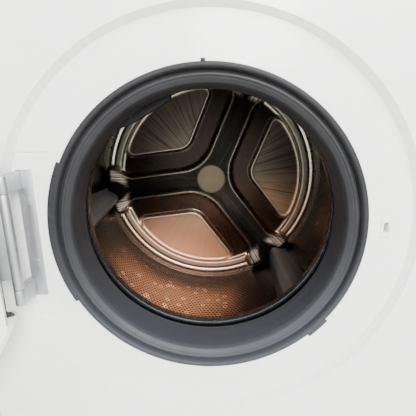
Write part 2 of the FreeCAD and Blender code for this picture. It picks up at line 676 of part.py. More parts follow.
def make_drain_hose():
    """Hose from the pump up the rear corner, ending in a spigot outside the rear wall."""
    hose = pipe([(FILTER_X + 44.2, -80, 72), (DRAIN_X, -80, 72), (DRAIN_X, 235, 72),
                 (DRAIN_X, 235, DRAIN_Z), (DRAIN_X, BACK_Y + 8, DRAIN_Z)], DRAIN_R, 24.0)
    spigot = rod(DRAIN_R + 1, DRAIN_X, BACK_Y + 1.5, DRAIN_Z, 15, "y")
    return hose.fuse(spigot).cut(rod(DRAIN_R - 3, DRAIN_X, BACK_Y - 4, DRAIN_Z, 30, "y"))


keep("drain_hose", make_drain_hose())

# ---- tub --------------------------------------------------------------------------
FLANGE_R = 275.0
FLANGE_T = 6.0
BOLT_RING_R = 268.5
BOLTS = 12
LUG_T = 12.0


def tub_depth(x):
    """Half height of the tub at a sideways distance from its axis."""
    return math.sqrt(TUB_R ** 2 - x ** 2)


def with_bolt_holes(shape, y):
    """Cut the ring of flange bolt holes."""
    hole = rod(2.9, BOLT_RING_R, y, DRUM_Z, FLANGE_T + 2, "y")
    for k in range(BOLTS):
        shape = shape.cut(turned(hole, 15.0 + k * 360.0 / BOLTS))
    return shape


def make_tub_front():
    """Front half of the tub, with the neck for the seal."""
    inner = TUB_R - TUB_WALL
    y0 = TUB_FRONT_Y
    half = spun([(NECK_R - 4, y0 - 24), (NECK_R, y0 - 24), (NECK_R, y0), (TUB_R - 10, y0),
                 (TUB_R, y0 + 10), (TUB_R, TUB_SPLIT_Y - FLANGE_T), (FLANGE_R, TUB_SPLIT_Y - FLANGE_T),
                 (FLANGE_R, TUB_SPLIT_Y), (inner, TUB_SPLIT_Y), (inner, y0 + 12),
                 (inner - 8, y0 + TUB_WALL), (NECK_R - 4, y0 + TUB_WALL)])
    spout_z = DRUM_Z + tub_depth(OUTLET_X) - 12
    inlet = rod(OUTLET_R, OUTLET_X, OUTLET_Y, spout_z, 24, "z")
    sump_z = DRUM_Z - tub_depth(PUMP_X)
    sump = rod(SUMP_R, PUMP_X, PUMP_Y, sump_z - SUMP_LEN, SUMP_LEN + 16, "z")
    cavity = rod(inner, 0, y0 + TUB_WALL, DRUM_Z, TUB_SPLIT_Y - y0, "y")
    half = half.fuse([inlet.cut(cavity), sump.cut(cavity)])
    half = half.cut(rod(OUTLET_R - 3, OUTLET_X, OUTLET_Y, spout_z - 30, 80, "z"))
    half = half.cut(rod(SUMP_R - 4, PUMP_X, PUMP_Y, sump_z - SUMP_LEN - 1, 60, "z"))
    return with_bolt_holes(half, TUB_SPLIT_Y - FLANGE_T - 1)


BEARING_R = 31.0
BEARING_T = 16.0
TAIL_BEARING_R = 26.0
TAIL_BEARING_T = 15.0
SEAL_RING_R = 26.0
BEARING_Y = TUB_REAR_Y + 2.0
TAIL_BEARING_Y = HUB_END_Y - TAIL_BEARING_T - 3.0
HEATER_Z = DRUM_Z - (TUB_R - TUB_WALL + DRUM_R) / 2
HEATER_HALF = 22.0
MOTOR_Y0 = -18.0
MOTOR_Y1 = 150.0


def make_tub_rear():
    """Rear half of the tub with the bearing hub, ribs and the lugs of the suspension."""
    inner = TUB_R - TUB_WALL
    y1 = TUB_REAR_Y
    half = spun([(inner, TUB_SPLIT_Y), (FLANGE_R, TUB_SPLIT_Y), (FLANGE_R, TUB_SPLIT_Y + FLANGE_T),
                 (TUB_R, TUB_SPLIT_Y + FLANGE_T), (TUB_R, y1 - 6), (TUB_R - 10, y1 + TUB_WALL),
                 (42, y1 + TUB_WALL), (42, HUB_END_Y), (TAIL_BEARING_R - 4, HUB_END_Y),
                 (TAIL_BEARING_R - 4, HUB_END_Y - 3), (TAIL_BEARING_R, HUB_END_Y - 3),
                 (TAIL_BEARING_R, TAIL_BEARING_Y), (SEAL_RING_R - 4, TAIL_BEARING_Y),
                 (SEAL_RING_R - 4, BEARING_Y + BEARING_T), (BEARING_R, BEARING_Y + BEARING_T),
                 (BEARING_R, BEARING_Y), (SEAL_RING_R, BEARING_Y), (SEAL_RING_R, y1 - 8),
                 (42, y1 - 8), (42, y1), (inner - 8, y1), (inner, y1 - 10)])
    cavity = rod(inner, 0, TUB_SPLIT_Y - 1, DRUM_Z, y1 - TUB_SPLIT_Y, "y")
    rib = box(40, TUB_R - 14, y1 + TUB_WALL, y1 + TUB_WALL + 18, DRUM_Z - 2, DRUM_Z + 2)
    half = half.fuse([turned(rib, 30.0 * k) for k in range(12)])
    lugs = []
    for side in (-1, 1):
        top = DRUM_Z + tub_depth(SPRING_X)
        x = side * SPRING_X
        lugs.append(box(x - 14, x + 14, SPRING_Y - LUG_T / 2, SPRING_Y + LUG_T / 2, top - 30, top + 28))
        low = DRUM_Z - tub_depth(DAMPER_X)
        x = side * DAMPER_X
        lugs.append(box(x - 12, x + 12, DAMPER_Y - LUG_T / 2, DAMPER_Y + LUG_T / 2, low - 16, low + 20))
    for y in (MOTOR_Y0 + 36, MOTOR_Y1 - 30):
        low = MOTOR_Z + MOTOR_R + 8
        lugs.append(box(MOTOR_X - 40, MOTOR_X + 40, y, y + LUG_T, low, DRUM_Z - tub_depth(MOTOR_X) + 12))
    half = half.fuse([lug.cut(cavity) for lug in lugs])
    window = box(-HEATER_HALF - 12.3, HEATER_HALF + 12.3, y1 - 12, y1 + 30, HEATER_Z - 7.3, HEATER_Z + 7.3)
    return with_bolt_holes(half.cut(window), TUB_SPLIT_Y - 1)


keep("tub_front", make_tub_front())
keep("tub_rear", make_tub_rear())


def make_tub_bolts():
    """One bolt and nut for each flange hole, as separate solids."""
    y0 = TUB_SPLIT_Y - FLANGE_T - 4
    bolt = rod(4.8, BOLT_RING_R, y0, DRUM_Z, 4, "y").fuse(rod(2.5, BOLT_RING_R, y0, DRUM_Z, 22, "y"))
    nut = rod(4.8, BOLT_RING_R, TUB_SPLIT_Y + FLANGE_T, DRUM_Z, 3.5, "y")
    return [turned(bolt.fuse(nut), 15.0 + k * 360.0 / BOLTS) for k in range(BOLTS)]


keep("tub_bolts", *make_tub_bolts())
WEIGHT_R0 = 206.0
WEIGHT_T = 34.0


def make_front_weight():
    """Cast ballast, an arch over the top of the tub's front."""
    y1 = TUB_FRONT_Y - 0.2
    y0 = y1 - WEIGHT_T
    return spun([(WEIGHT_R0, y0 + 4), (WEIGHT_R0 + 4, y0), (TUB_R - 12, y0), (TUB_R - 8, y0 + 4),
                 (TUB_R - 8, y1), (WEIGHT_R0, y1)], 25.0, 130.0)


keep("front_weight", make_front_weight())


def make_bearing(inner, outer, y0, y1, balls):
    """A ball bearing: two races and a ring of balls, as separate solids."""
    wall = (outer - inner) * 0.28
    mid = (inner + outer) / 2
    ball_r = (outer - inner) * 0.2
    races = [ring(inner, inner + wall, y0, y1), ring(outer - wall, outer, y0, y1)]
    ball = Part.makeSphere(ball_r, V(mid, (y0 + y1) / 2, DRUM_Z))
    return races + [turned(ball, k * 360.0 / balls) for k in range(balls)]


bearings = make_bearing(SHAFT_R + RUN, BEARING_R, BEARING_Y, BEARING_Y + BEARING_T, 9)
bearings += make_bearing(SHAFT_TAIL_R + RUN, TAIL_BEARING_R, TAIL_BEARING_Y,
                         TAIL_BEARING_Y + TAIL_BEARING_T, 9)
keep("drum_bearings", *bearings)
keep("shaft_seal", ring(SHAFT_R + RUN, SEAL_RING_R, TUB_REAR_Y - 7, BEARING_Y - 0.2))


def make_heater():
    """Hairpin element in the bottom of the tub, on a plug through its rear wall."""
    plug_y = TUB_REAR_Y - 4
    length = 200.0
    legs = [rod(4.0, side * HEATER_HALF, plug_y - length, HEATER_Z, length + 4, "y") for side in (-1, 1)]
    bend = Part.makeTorus(HEATER_HALF, 4.0, V(0, plug_y - length, HEATER_Z), V(0, 0, 1))
    bend = bend.common(box(-40, 40, plug_y - length - 40, plug_y - length, HEATER_Z - 9, HEATER_Z + 9))
    plug = box(-HEATER_HALF - 12, HEATER_HALF + 12, plug_y, plug_y + 16, HEATER_Z - 7, HEATER_Z + 7)
    tabs = [box(x - 3, x + 3, plug_y + 15, plug_y + 27, HEATER_Z - 0.5, HEATER_Z + 0.5) for x in (-20, 0, 20)]
    return plug.fuse(legs + [bend] + tabs).removeSplitter()


keep("heater", make_heater())

MOTOR_SHAFT_R = 6.0
ROTOR_R = 34.0
ROTOR_GAP = 0.6
MOTOR_PULLEY_T = 20.0


def make_motor_body():
    """Stator can with end shields, bored for the rotor and its shaft."""
    can = rod(MOTOR_R, MOTOR_X, MOTOR_Y0, MOTOR_Z, MOTOR_Y1 - MOTOR_Y0, "y")
    for y in (MOTOR_Y0 + 36, MOTOR_Y1 - 30):
        can = can.fuse(box(MOTOR_X - 40, MOTOR_X + 40, y, y + LUG_T, MOTOR_Z, MOTOR_Z + MOTOR_R + 8))
    can = can.cut(rod(ROTOR_R + ROTOR_GAP, MOTOR_X, MOTOR_Y0 + 6, MOTOR_Z, MOTOR_Y1 - MOTOR_Y0 - 12, "y"))
    can = can.cut(rod(MOTOR_SHAFT_R + RUN, MOTOR_X, MOTOR_Y0 + 3, MOTOR_Z, MOTOR_Y1 - MOTOR_Y0, "y"))
    for k in range(8):
        slot = box(MOTOR_X + 44, MOTOR_X + 48, MOTOR_Y1 - 4, MOTOR_Y1 + 1, MOTOR_Z - 5, MOTOR_Z + 5)
        slot.rotate(V(MOTOR_X, 0, MOTOR_Z), V(0, 1, 0), 45.0 * k + 22.5)
        can = can.cut(slot)
    return can.removeSplitter()


def make_rotor():
    """Rotor core, shaft and small pulley in one."""
    core = rod(ROTOR_R, MOTOR_X, MOTOR_Y0 + 9, MOTOR_Z, MOTOR_Y1 - MOTOR_Y0 - 18, "y")
    tail = PULLEY_Y + BELT_W / 2 + MOTOR_PULLEY_T / 2
    shaft = rod(MOTOR_SHAFT_R, MOTOR_X, MOTOR_Y0 + 4, MOTOR_Z, tail - MOTOR_Y0 - 3, "y")
    wheel = rod(MOTOR_PULLEY_R, MOTOR_X, tail - MOTOR_PULLEY_T, MOTOR_Z, MOTOR_PULLEY_T, "y")
    return core.fuse([shaft, wheel]).removeSplitter()


keep("motor_body", make_motor_body())
keep("motor_rotor", make_rotor())


def belt_loop(grow, y0, y1):
    """A slab whose outline runs round both pulleys, grown outwards."""
    big = PULLEY_R + grow
    small = MOTOR_PULLEY_R + grow
    centre = V(0, y0, DRUM_Z)
    motor = V(MOTOR_X, y0, MOTOR_Z)
    reach = motor - centre
    along = V(reach).normalize()
    across = V(along.z, 0, -along.x)
    lean = (big - small) / reach.Length
    side = math.sqrt(1 - lean ** 2)
    ways = [along * lean + across * side, along * lean - across * side]
    corners = [centre + ways[0] * big, motor + ways[0] * small,
               motor + ways[1] * small, centre + ways[1] * big]
    slab = Part.Face(Part.makePolygon(corners + corners[:1])).extrude(V(0, y1 - y0, 0))
    return slab.fuse([rod(big, 0, y0, DRUM_Z, y1 - y0, "y"), rod(small, MOTOR_X, y0, MOTOR_Z, y1 - y0, "y")])


outside = belt_loop(BELT_CLEAR + BELT_T, PULLEY_Y, PULLEY_Y + BELT_W)
inside = belt_loop(BELT_CLEAR, PULLEY_Y - 1, PULLEY_Y + BELT_W + 1)
keep("drive_belt", outside.cut(inside).removeSplitter())

SPRING_COIL_R = 12.0
SPRING_WIRE_R = 2.0
SPRING_PITCH = 9.0


def make_spring(side):
    """A suspension spring between the tub's lug and the brace."""
    low = DRUM_Z + tub_depth(SPRING_X) + 28 + SPRING_WIRE_R
    high = BRACE_Z - SPRING_WIRE_R
    helix = Part.makeHelix(SPRING_PITCH, high - low, SPRING_COIL_R)
    section = Part.Wire(Part.makeCircle(SPRING_WIRE_R, V(SPRING_COIL_R, 0, 0), V(0, 1, 0)))
    coil = Part.Wire(helix).makePipeShell([section], True, True)
    coil.translate(V(side * SPRING_X, SPRING_Y, low))
    return coil


keep("suspension_springs", make_spring(-1), make_spring(1))

DAMPER_R = 15.0
DAMPER_ROD_R = 7.0
DAMPER_TOP = 190.0
DAMPER_STOP = 40.0
DAMPER_WALL = 5.0
DAMPER_FLANGE = 4.0            # foot flange: this wide beyond the tube, and this thick
PISTON_H = 30.0
PISTON_GAP = 0.4
cylinders = []
rods = []
for side in (-1, 1):
    x = side * DAMPER_X
    foot = BASE_Z + 1.5
    tube = rod(DAMPER_R, x, DAMPER_Y, foot, DAMPER_TOP - foot, "z")
    tube = tube.fuse(rod(DAMPER_R + DAMPER_FLANGE, x, DAMPER_Y, foot, DAMPER_FLANGE, "z"))
    bore = rod(DAMPER_R - DAMPER_WALL, x, DAMPER_Y, foot + DAMPER_FLANGE, DAMPER_TOP, "z")
    cylinders.append(tube.cut(bore))
    lug = DRUM_Z - tub_depth(DAMPER_X) - 16
    low = DAMPER_STOP + PISTON_H
    plunger = rod(DAMPER_ROD_R, x, DAMPER_Y, low, lug - low, "z")
    piston = rod(DAMPER_R - DAMPER_WALL - PISTON_GAP, x, DAMPER_Y, low, PISTON_H, "z")
    rods.append(plunger.fuse(piston))
keep("damper_cylinders", *cylinders)
keep("damper_rods", *rods)


def make_hose(radius, x, y, z0, z1, ribs):
    """A short ribbed hose standing between two spigots."""
    step = (z1 - z0) / (2 * ribs)
    outline = []
    for k in range(2 * ribs + 1):
        outline.append((radius + (3 if k % 2 else 0), z0 + k * step))
    inner = radius - 2
    points = [V(x + r, y, z) for r, z in outline] + [V(x + inner, y, z1), V(x + inner, y, z0)]
    face = Part.Face(Part.makePolygon(points + points[:1]))
    return face.revolve(V(x, y, 0), V(0, 0, 1), 360)


keep("fill_hose", make_hose(OUTLET_R - 1, OUTLET_X, OUTLET_Y, DRUM_Z + tub_depth(OUTLET_X) + 12.2,
                            SPOUT_Z - 0.2, 4))
keep("sump_hose", make_hose(SUMP_R, PUMP_X, PUMP_Y, 130.2, DRUM_Z - tub_depth(PUMP_X) - SUMP_LEN - 0.2, 6))

# ---- drum -------------------------------------------------------------------------


def make_drum_front():
    """Front plate of the drum with the rolled collar round its mouth."""
    y = LIP_Y + MOUTH_DEPTH
    seam = LIP_Y + DRUM_SEAM
    edge = DRUM_R - DRUM_SHEET
    return spun([(MOUTH_R - 1, y + 1.5), (MOUTH_R, y), (MOUTH_R + 2, y), (MOUTH_R + 3, y + 1.5),
                 (MOUTH_R + 3, y + 3.5), (MOUTH_R + 1.2, y + 5), (MOUTH_R + 1.2, y + 14.5),
                 (MOUTH_R + 3.5, y + 17.5), (edge, seam - 1.4), (edge, seam), (MOUTH_R + 3, y + 18.9),
                 (MOUTH_R, y + 15), (MOUTH_R, y + 5), (MOUTH_R - 1, y + 3.5)])


keep("drum_front", make_drum_front())


def make_drum_shell():
    """Perforated drum wall; the stretches under the lifters stay plain."""
    y0 = LIP_Y + DRUM_SEAM
    shell = ring(DRUM_R - DRUM_SHEET, DRUM_R, y0 - 1.4, BACKPLATE_Y)
    holes = []
    for row in range(HOLE_RINGS):
        y = y0 + (row + 0.5) * DRUM_DEPTH / HOLE_RINGS
        for k in range(HOLES_PER_RING):
            angle = (k + 0.5 * (row % 2)) * 360.0 / HOLES_PER_RING
            away = min(abs((angle - a - LIFTER_LEAD + 180) % 360 - 180) for a in ARM_ANGLES)
            if away > 13.0:
                radial = Part.makeCylinder(HOLE_R, 8, V(DRUM_R - 5, y, DRUM_Z), V(1, 0, 0))
                holes.append(turned(radial, angle))
    return shell.cut(Part.makeCompound(holes))


keep("drum_shell", make_drum_shell())


def star(half_w, length, fillet, y0, y1):
    """The three arms of the drum back as one slab, rounded where they meet."""
    arms = [turned(box(0, length, y0, y1, DRUM_Z - half_w, DRUM_Z + half_w), a) for a in ARM_ANGLES]
    slab = arms[0].fuse(arms[1:]).removeSplitter()
    near = half_w / math.sin(math.radians(60)) + 1.0
    inner = edges_along(slab, V(0, 1, 0),
                        lambda e: math.hypot(e.CenterOfMass.x, e.CenterOfMass.z - DRUM_Z) < near)
    return slab.makeFillet(fillet, inner)


LOBE_EDGE = 44.0           # flat channel between an arm and a lobe
LOBE_R = 201.0
LOBE_H = 4.0


def lobe(angle, shrink, y0, y1):
    """One lobed plate between two arms: two straight sides and a round outer side."""
    side = STAR_HALF_W + LOBE_EDGE + shrink
    disc = rod(LOBE_R - shrink, 0, y0, DRUM_Z, y1 - y0, "y")
    half_a = turned(box(-300, 300, y0, y1, side, 600), 0)
    half_a.translate(V(0, 0, DRUM_Z))
    left = half_a.copy()
    left.rotate(AXIS, V(0, -1, 0), angle - 60)
    right = box(-300, 300, y0, y1, -600, -side)
    right.translate(V(0, 0, DRUM_Z))
    right.rotate(AXIS, V(0, -1, 0), angle + 60)
    plate = disc.common(left).common(right)
    return plate.makeFillet(20.0 - shrink, edges_along(plate, V(0, 1, 0)))


def make_drum_back():
    """Pressed back plate: hollow raised arms, raised lobes, a raised rim bead."""
    y = BACKPLATE_Y
    t = 1.2
    plate = rod(DRUM_R - 0.4, 0, y, DRUM_Z, t, "y")
    plate = plate.fuse(star(STAR_HALF_W, STAR_LEN, STAR_FILLET, y - STAR_H, y + t))
    lobes = [lobe(a + 60, 0.0, y - LOBE_H, y + t) for a in ARM_ANGLES]
    plate = plate.fuse(lobes)
    bead = ring(208, 222, y - LOBE_H, y + t)
    plate = plate.fuse(bead)
    hollow = star(STAR_HALF_W - t, STAR_LEN - t, STAR_FILLET + t, y - STAR_H + t, y + t + 1)
    plate = plate.cut(hollow)
    for a in ARM_ANGLES:
        plate = plate.cut(lobe(a + 60, t, y - LOBE_H + t, y + t + 1))
    return plate


keep("drum_back", make_drum_back())
STAR_Y = BACKPLATE_Y - STAR_H


def make_hub_cap():
    """Slightly domed round cap over the shaft's screw."""
    return spun([(0, STAR_Y - 5), (CAP_R - 8, STAR_Y - 4.4), (CAP_R - 1.5, STAR_Y - 3),
                 (CAP_R, STAR_Y - 1.5), (CAP_R, STAR_Y), (0, STAR_Y)])


keep("hub_cap", make_hub_cap())


def section(y, half_w, crest_w, crest_r, inset):
    """Cross-section of a lifter: a low wide ridge standing on the drum wall."""
    base_r = math.sqrt((DRUM_R - DRUM_SHEET - 0.3) ** 2 - half_w ** 2)
    corners = [(-half_w + 2 * inset, base_r + inset), (-crest_w, crest_r + inset),
               (crest_w, crest_r + inset), (half_w - 2 * inset, base_r + inset)]
    points = [V(r, y, DRUM_Z + t) for t, r in corners]
    return Part.makePolygon(points + points[:1])


def make_lifter(angle):
    """Hollow lifter, taller at the mouth than at the back."""
    y0 = LIP_Y + DRUM_SEAM + 4
    y1 = BACKPLATE_Y - 22
    crest = DRUM_R - LIFTER_H
    outer = Part.makeLoft([section(y0, LIFTER_HALF_W, 7, crest, 0),
                           section(y1, LIFTER_HALF_W - 14, 5, crest + 12, 0)], True, True)
    inner = Part.makeLoft([section(y0 + 3, LIFTER_HALF_W, 5, crest, 3),
                           section(y1 - 3, LIFTER_HALF_W - 14, 3, crest + 12, 3)], True, True)
    return turned(outer.cut(inner), angle)


keep("drum_lifters", *[make_lifter(angle + LIFTER_LEAD) for angle in ARM_ANGLES])

SPIDER_HUB_R = 30.0


def make_spider():
    """Cast three-armed spider inside the hollow arms of the drum back."""
    y0 = STAR_Y + 1.4
    y1 = BACKPLATE_Y
    arm = box(0, STAR_LEN - 8, y0, y1, DRUM_Z - 18, DRUM_Z + 18)
    slot = box(50, STAR_LEN - 24, y0 + 5, y1 + 1, DRUM_Z - 12, DRUM_Z + 12)
    arm = arm.cut(slot)
    hub = rod(SPIDER_HUB_R, 0, y0, DRUM_Z, TUB_REAR_Y - 12 - y0, "y")
    spider = hub.fuse([turned(arm, a) for a in ARM_ANGLES])
    return spider.cut(rod(SHAFT_R, 0, y0 + 6, DRUM_Z, 100, "y")).removeSplitter()


keep("drum_spider", make_spider())


def make_shaft():
    """Stepped drum shaft with the pulley's bolt on its end."""
    y0 = STAR_Y + 7.4
    step = BEARING_Y + BEARING_T + 1
    end = PULLEY_Y + BELT_W + 4
    return spun([(0, y0), (SHAFT_R, y0), (SHAFT_R, step), (SHAFT_TAIL_R, step), (SHAFT_TAIL_R, end),
                 (9, end), (9, end + 6), (0, end + 6)])


keep("drum_shaft", make_shaft())


def make_drum_pulley():
    """Wide flat pulley with six spokes."""
    y0 = PULLEY_Y - 1
    y1 = PULLEY_Y + BELT_W + 1
    rim = ring(PULLEY_R - 6, PULLEY_R, y0, y1)
    hub = ring(SHAFT_TAIL_R, 26, y0, y1 + 2)
    spoke = box(22, PULLEY_R - 3, y0 + 5, y1 - 5, DRUM_Z - 8, DRUM_Z + 8)
    return rim.fuse([hub] + [turned(spoke, 60.0 * k) for k in range(6)]).removeSplitter()


keep("drum_pulley", make_drum_pulley())

# ---- door, modelled closed and then swung open -------------------------------------
NOTCH_X = HINGE_X + 17.0
NOTCH_Z = 90.0
WINDOW_R = 172.0


def door_notch():
    """Room for the hinge at the door's edge."""
    return box(-2 * DOOR_R, NOTCH_X, DOOR_FRONT_Y - 5, DOOR_BACK_Y + 5, DRUM_Z - NOTCH_Z, DRUM_Z + NOTCH_Z)


def hook_slot(y0, y1):
    """Opening that the hook comes through."""
    return box(HOOK_X - 3, HOOK_X + 3, y0, y1, DRUM_Z - 7, DRUM_Z + 13)


def make_outer_ring():
    """Outer door ring, hollow and open to the back."""
    y0 = DOOR_FRONT_Y
    y1 = DOOR_SPLIT_Y
    outer = spun([(WINDOW_R + 6, y0 + 1), (WINDOW_R + 22, y0), (DOOR_R - 16, y0 + 1), (DOOR_R - 4, y0 + 6),
                  (DOOR_R, y0 + 14), (DOOR_R, y1), (DOOR_R - 3, y1), (DOOR_R - 3, y0 + 15),
                  (DOOR_R - 6, y0 + 9), (DOOR_R - 17, y0 + 4), (WINDOW_R + 22, y0 + 3),
                  (WINDOW_R + 7, y0 + 4), (WINDOW_R + 3, y0 + 9), (WINDOW_R + 3, y1 - 4.5),
                  (WINDOW_R, y1 - 4.5), (WINDOW_R, y0 + 7)])
    return outer.cut(door_notch())


def make_inner_ring():
    """Inner door ring round the bowl."""
    y0 = DOOR_SPLIT_Y + 0.3
    y1 = DOOR_BACK_Y
    inner = spun([(GLASS_R + 1, y0), (DOOR_R - 1, y0), (DOOR_R - 4, y1 - 4), (DOOR_R - 9, y1),
                  (GLASS_R + 16, y1), (GLASS_R + 8, y1 - 4), (GLASS_R + 1, y1 - 7)])
    return inner.cut(door_notch()).cut(hook_slot(y0 - 1, y1 + 1))


def make_glass():
    """Glass bowl with its flange between the two rings."""
    y = DOOR_SPLIT_Y
    tip = DOOR_BACK_Y + GLASS_DEPTH
    r = GLASS_R
    wall = 4.0
    return spun([(0, tip), (r - 45, tip - 2), (r - 28, tip - 8), (r - 18, tip - 20),
                 (r - 6, y + 40), (r, y + 10),
                 (r, y), (WINDOW_R + 8, y), (WINDOW_R + 8, y - wall), (r - wall, y - wall),
                 (r - wall, y + 10), (r - 6 - wall, y + 40), (r - 18 - wall, tip - 21),
                 (r - 31, tip - 12), (r - 45, tip - 6), (0, tip - wall)])


keep("door_outer_ring", opened(make_outer_ring()))
keep("door_inner_ring", opened(make_inner_ring()))
keep("door_glass", opened(make_glass()))


def make_hinge_arm():
    """Barrel on the hinge pin and the leaf that goes into the door."""
    low = POSTS[0][1] + 0.5
    high = POSTS[1][0] - 0.5
    barrel = rod(BARREL_R, HINGE_X, HINGE_Y, DRUM_Z + low, high - low, "z")
    leaf = box(HINGE_X, NOTCH_X + 24, HINGE_Y - 1, HINGE_Y + 2, DRUM_Z - 45, DRUM_Z + 45)
    arm = barrel.fuse(leaf)
    return arm.cut(rod(HINGE_PIN_R + RUN, HINGE_X, HINGE_Y, DRUM_Z + low - 1, high - low + 2, "z"))


keep("hinge_arm", opened(make_hinge_arm()))
HOOK_PIVOT_Y = DOOR_SPLIT_Y - 6.0


def make_hook():
    """Flat latch hook with its claw, on a cross pivot inside the door."""
    stem = box(HOOK_X - 1.2, HOOK_X + 1.2, HOOK_PIVOT_Y - 4, FLOOR_Y + 9, DRUM_Z - 1, DRUM_Z + 4)
    claw = box(HOOK_X - 1.2, HOOK_X + 1.2, FLOOR_Y + 5, FLOOR_Y + 9, DRUM_Z - 1, DRUM_Z + 6)
    eye = rod(5.0, HOOK_X - 1.2, HOOK_PIVOT_Y, DRUM_Z + 1.5, 2.4, "x")
    return stem.fuse([claw, eye]).removeSplitter()


keep("door_hook", opened(make_hook()))

# ---- write the parts ---------------------------------------------------------------
for name, shape in nodes.items():
    shape.exportStep("parts/%s.step" % name)
    solids = shape.Solids
    state = "ok" if shape.isValid() and solids and all(s.Volume > 0 for s in solids) else "BAD"
    print("%-20s %2d solid(s) %12.0f mm3 %s" % (name, len(solids), sum(s.Volume for s in solids), state))
print(len(nodes), "nodes")
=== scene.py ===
# %% [markdown]
# # A front load washing machine, seen through its open door
#
# The engineering model of the machine is already made: sixty separate parts, many of them on joints.
# This lesson dresses it. Most parts keep their shape and get a finish. The ones that the eye rests
# on, such as the rubber door seal and the pressed steel drum, are modelled again with finer forms.

# %% Load the engineering model
import json
import math

import bmesh
import bpy
from mathutils import Matrix, Vector


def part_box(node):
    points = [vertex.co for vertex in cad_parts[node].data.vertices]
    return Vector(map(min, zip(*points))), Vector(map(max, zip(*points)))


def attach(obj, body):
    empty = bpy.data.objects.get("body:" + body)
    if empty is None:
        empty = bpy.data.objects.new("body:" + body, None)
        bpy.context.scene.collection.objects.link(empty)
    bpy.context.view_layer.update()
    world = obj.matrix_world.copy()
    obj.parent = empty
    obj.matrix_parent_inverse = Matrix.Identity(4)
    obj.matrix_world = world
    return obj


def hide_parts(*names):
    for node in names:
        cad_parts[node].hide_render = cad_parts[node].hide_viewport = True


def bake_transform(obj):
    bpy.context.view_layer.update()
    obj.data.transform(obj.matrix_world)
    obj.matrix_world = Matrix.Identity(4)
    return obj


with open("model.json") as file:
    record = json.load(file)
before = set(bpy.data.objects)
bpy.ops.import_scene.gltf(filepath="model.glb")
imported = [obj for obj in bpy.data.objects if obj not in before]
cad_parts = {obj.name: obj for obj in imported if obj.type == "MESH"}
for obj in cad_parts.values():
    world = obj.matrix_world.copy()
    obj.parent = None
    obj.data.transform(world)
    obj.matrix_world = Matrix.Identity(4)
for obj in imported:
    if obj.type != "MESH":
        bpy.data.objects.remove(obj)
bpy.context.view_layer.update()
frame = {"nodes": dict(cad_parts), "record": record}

# %% [markdown]
# ## Measures
#
# The main places are read from the parts: the drum's axis, its mouth, its back and its wall. The drum
# turns on an axis along Y. Outlines further down are written in millimetres, as a turner would, and
# `MM` makes them metres. Their radii fit this drum and door, so a new size needs new outlines.

# %% Read the main places
MM = 0.001
front_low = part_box("drum_front")[0]
back_low, back_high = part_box("drum_back")
seal_low, seal_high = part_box("door_seal")
shell_low, shell_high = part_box("drum_shell")
cap_low, cap_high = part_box("hub_cap")
AXIS_Z = (back_low.z + back_high.z) / 2
LIP_Y = seal_low.y
WALL_R = shell_high.x
WALL_IN = WALL_R - 1.0 * MM
MOUTH_Y = front_low.y
PLATE_Y = back_high.y - 1.2 * MM
AXIS = Vector((0, 0, AXIS_Z))
ARMS = [math.radians(66.7 + 120 * k) for k in range(3)]
LIFTERS = [arm + math.radians(3.3) for arm in ARMS]
print("drum axis at", round(AXIS_Z, 4), "drum wall", round(WALL_R, 4))

# %% [markdown]
# ## Camera
#
# A look into a washing machine is a look through its door. The camera stands close in front of the
# opening, a little above the drum's axis and a few millimetres right of it, and looks down by 14.5
# degrees with a fairly wide lens. Its place is counted from the seal's lip and from the axis.

# %% Place the camera
CAMERA_AT = Vector((0.0093, LIP_Y - 0.405, AXIS_Z + 0.134))
LOOK_DOWN = math.radians(14.5)
TURN = math.radians(-1.3)
ROLL = math.radians(-0.98)
LENS_MM = 30.19
SENSOR_MM = 36
ahead = Vector((math.sin(TURN) * math.cos(LOOK_DOWN), math.cos(TURN) * math.cos(LOOK_DOWN),
                -math.sin(LOOK_DOWN)))
level = Vector((math.cos(TURN), -math.sin(TURN), 0))
upright = level.cross(ahead)
right = level * math.cos(ROLL) + upright * math.sin(ROLL)
above = upright * math.cos(ROLL) - level * math.sin(ROLL)
camera_data = bpy.data.cameras.new("camera")
camera_data.lens = LENS_MM
camera_data.sensor_width = SENSOR_MM
camera = bpy.data.objects.new("camera", camera_data)
camera.matrix_world = Matrix((right, above, -ahead)).transposed().to_4x4()
camera.location = CAMERA_AT
bpy.context.scene.collection.objects.link(camera)
bpy.context.scene.camera = camera
print("camera at", [round(c, 3) for c in CAMERA_AT])

# %% [markdown]
# ## Light
#
# Enamel and steel are glossy and mirror the lamps that light them, so the lamps are large and square,
# as in a studio: a key from the right, a weaker fill from the left and one from behind. A small warm
# lamp reaches into the drum, which would be nearly black without it. The world adds an even pale light.


# %% Set the lights
WORLD_STRENGTH = 1.15


def softbox(name, place, aim, size, watts, colour=(1, 1, 1)):
    """A large square lamp at a place, facing a point."""
    data = bpy.data.lights.new(name, "AREA")
    data.size = size
    data.energy = watts
    data.color = colour
    lamp = bpy.data.objects.new(name, data)
    lamp.location = place
    lamp.rotation_euler = (Vector(aim) - Vector(place)).to_track_quat("-Z", "Y").to_euler()
    bpy.context.scene.collection.objects.link(lamp)


softbox("key", place=(0.9, -2.3, 2.0), aim=(0, -0.2, 0.45), size=1.5, watts=165)
softbox("fill", place=(-2.0, -1.8, 1.3), aim=(0, 0, 0.45), size=1.6, watts=50)
softbox("rear", place=(1.2, 2.4, 2.0), aim=(0, 0, 0.5), size=1.8, watts=60)
softbox("into_drum", place=(0.12, -1.25, 0.95), aim=(0, 0.1, 0.36), size=0.4, watts=13,
        colour=(1, 0.94, 0.88))
world = bpy.data.worlds.new("studio")
world.use_nodes = True
world.node_tree.nodes["Background"].inputs["Color"].default_value = (0.93, 0.94, 0.96, 1)
world.node_tree.nodes["Background"].inputs["Strength"].default_value = WORLD_STRENGTH
bpy.context.scene.world = world
print("four lamps and a pale surround")

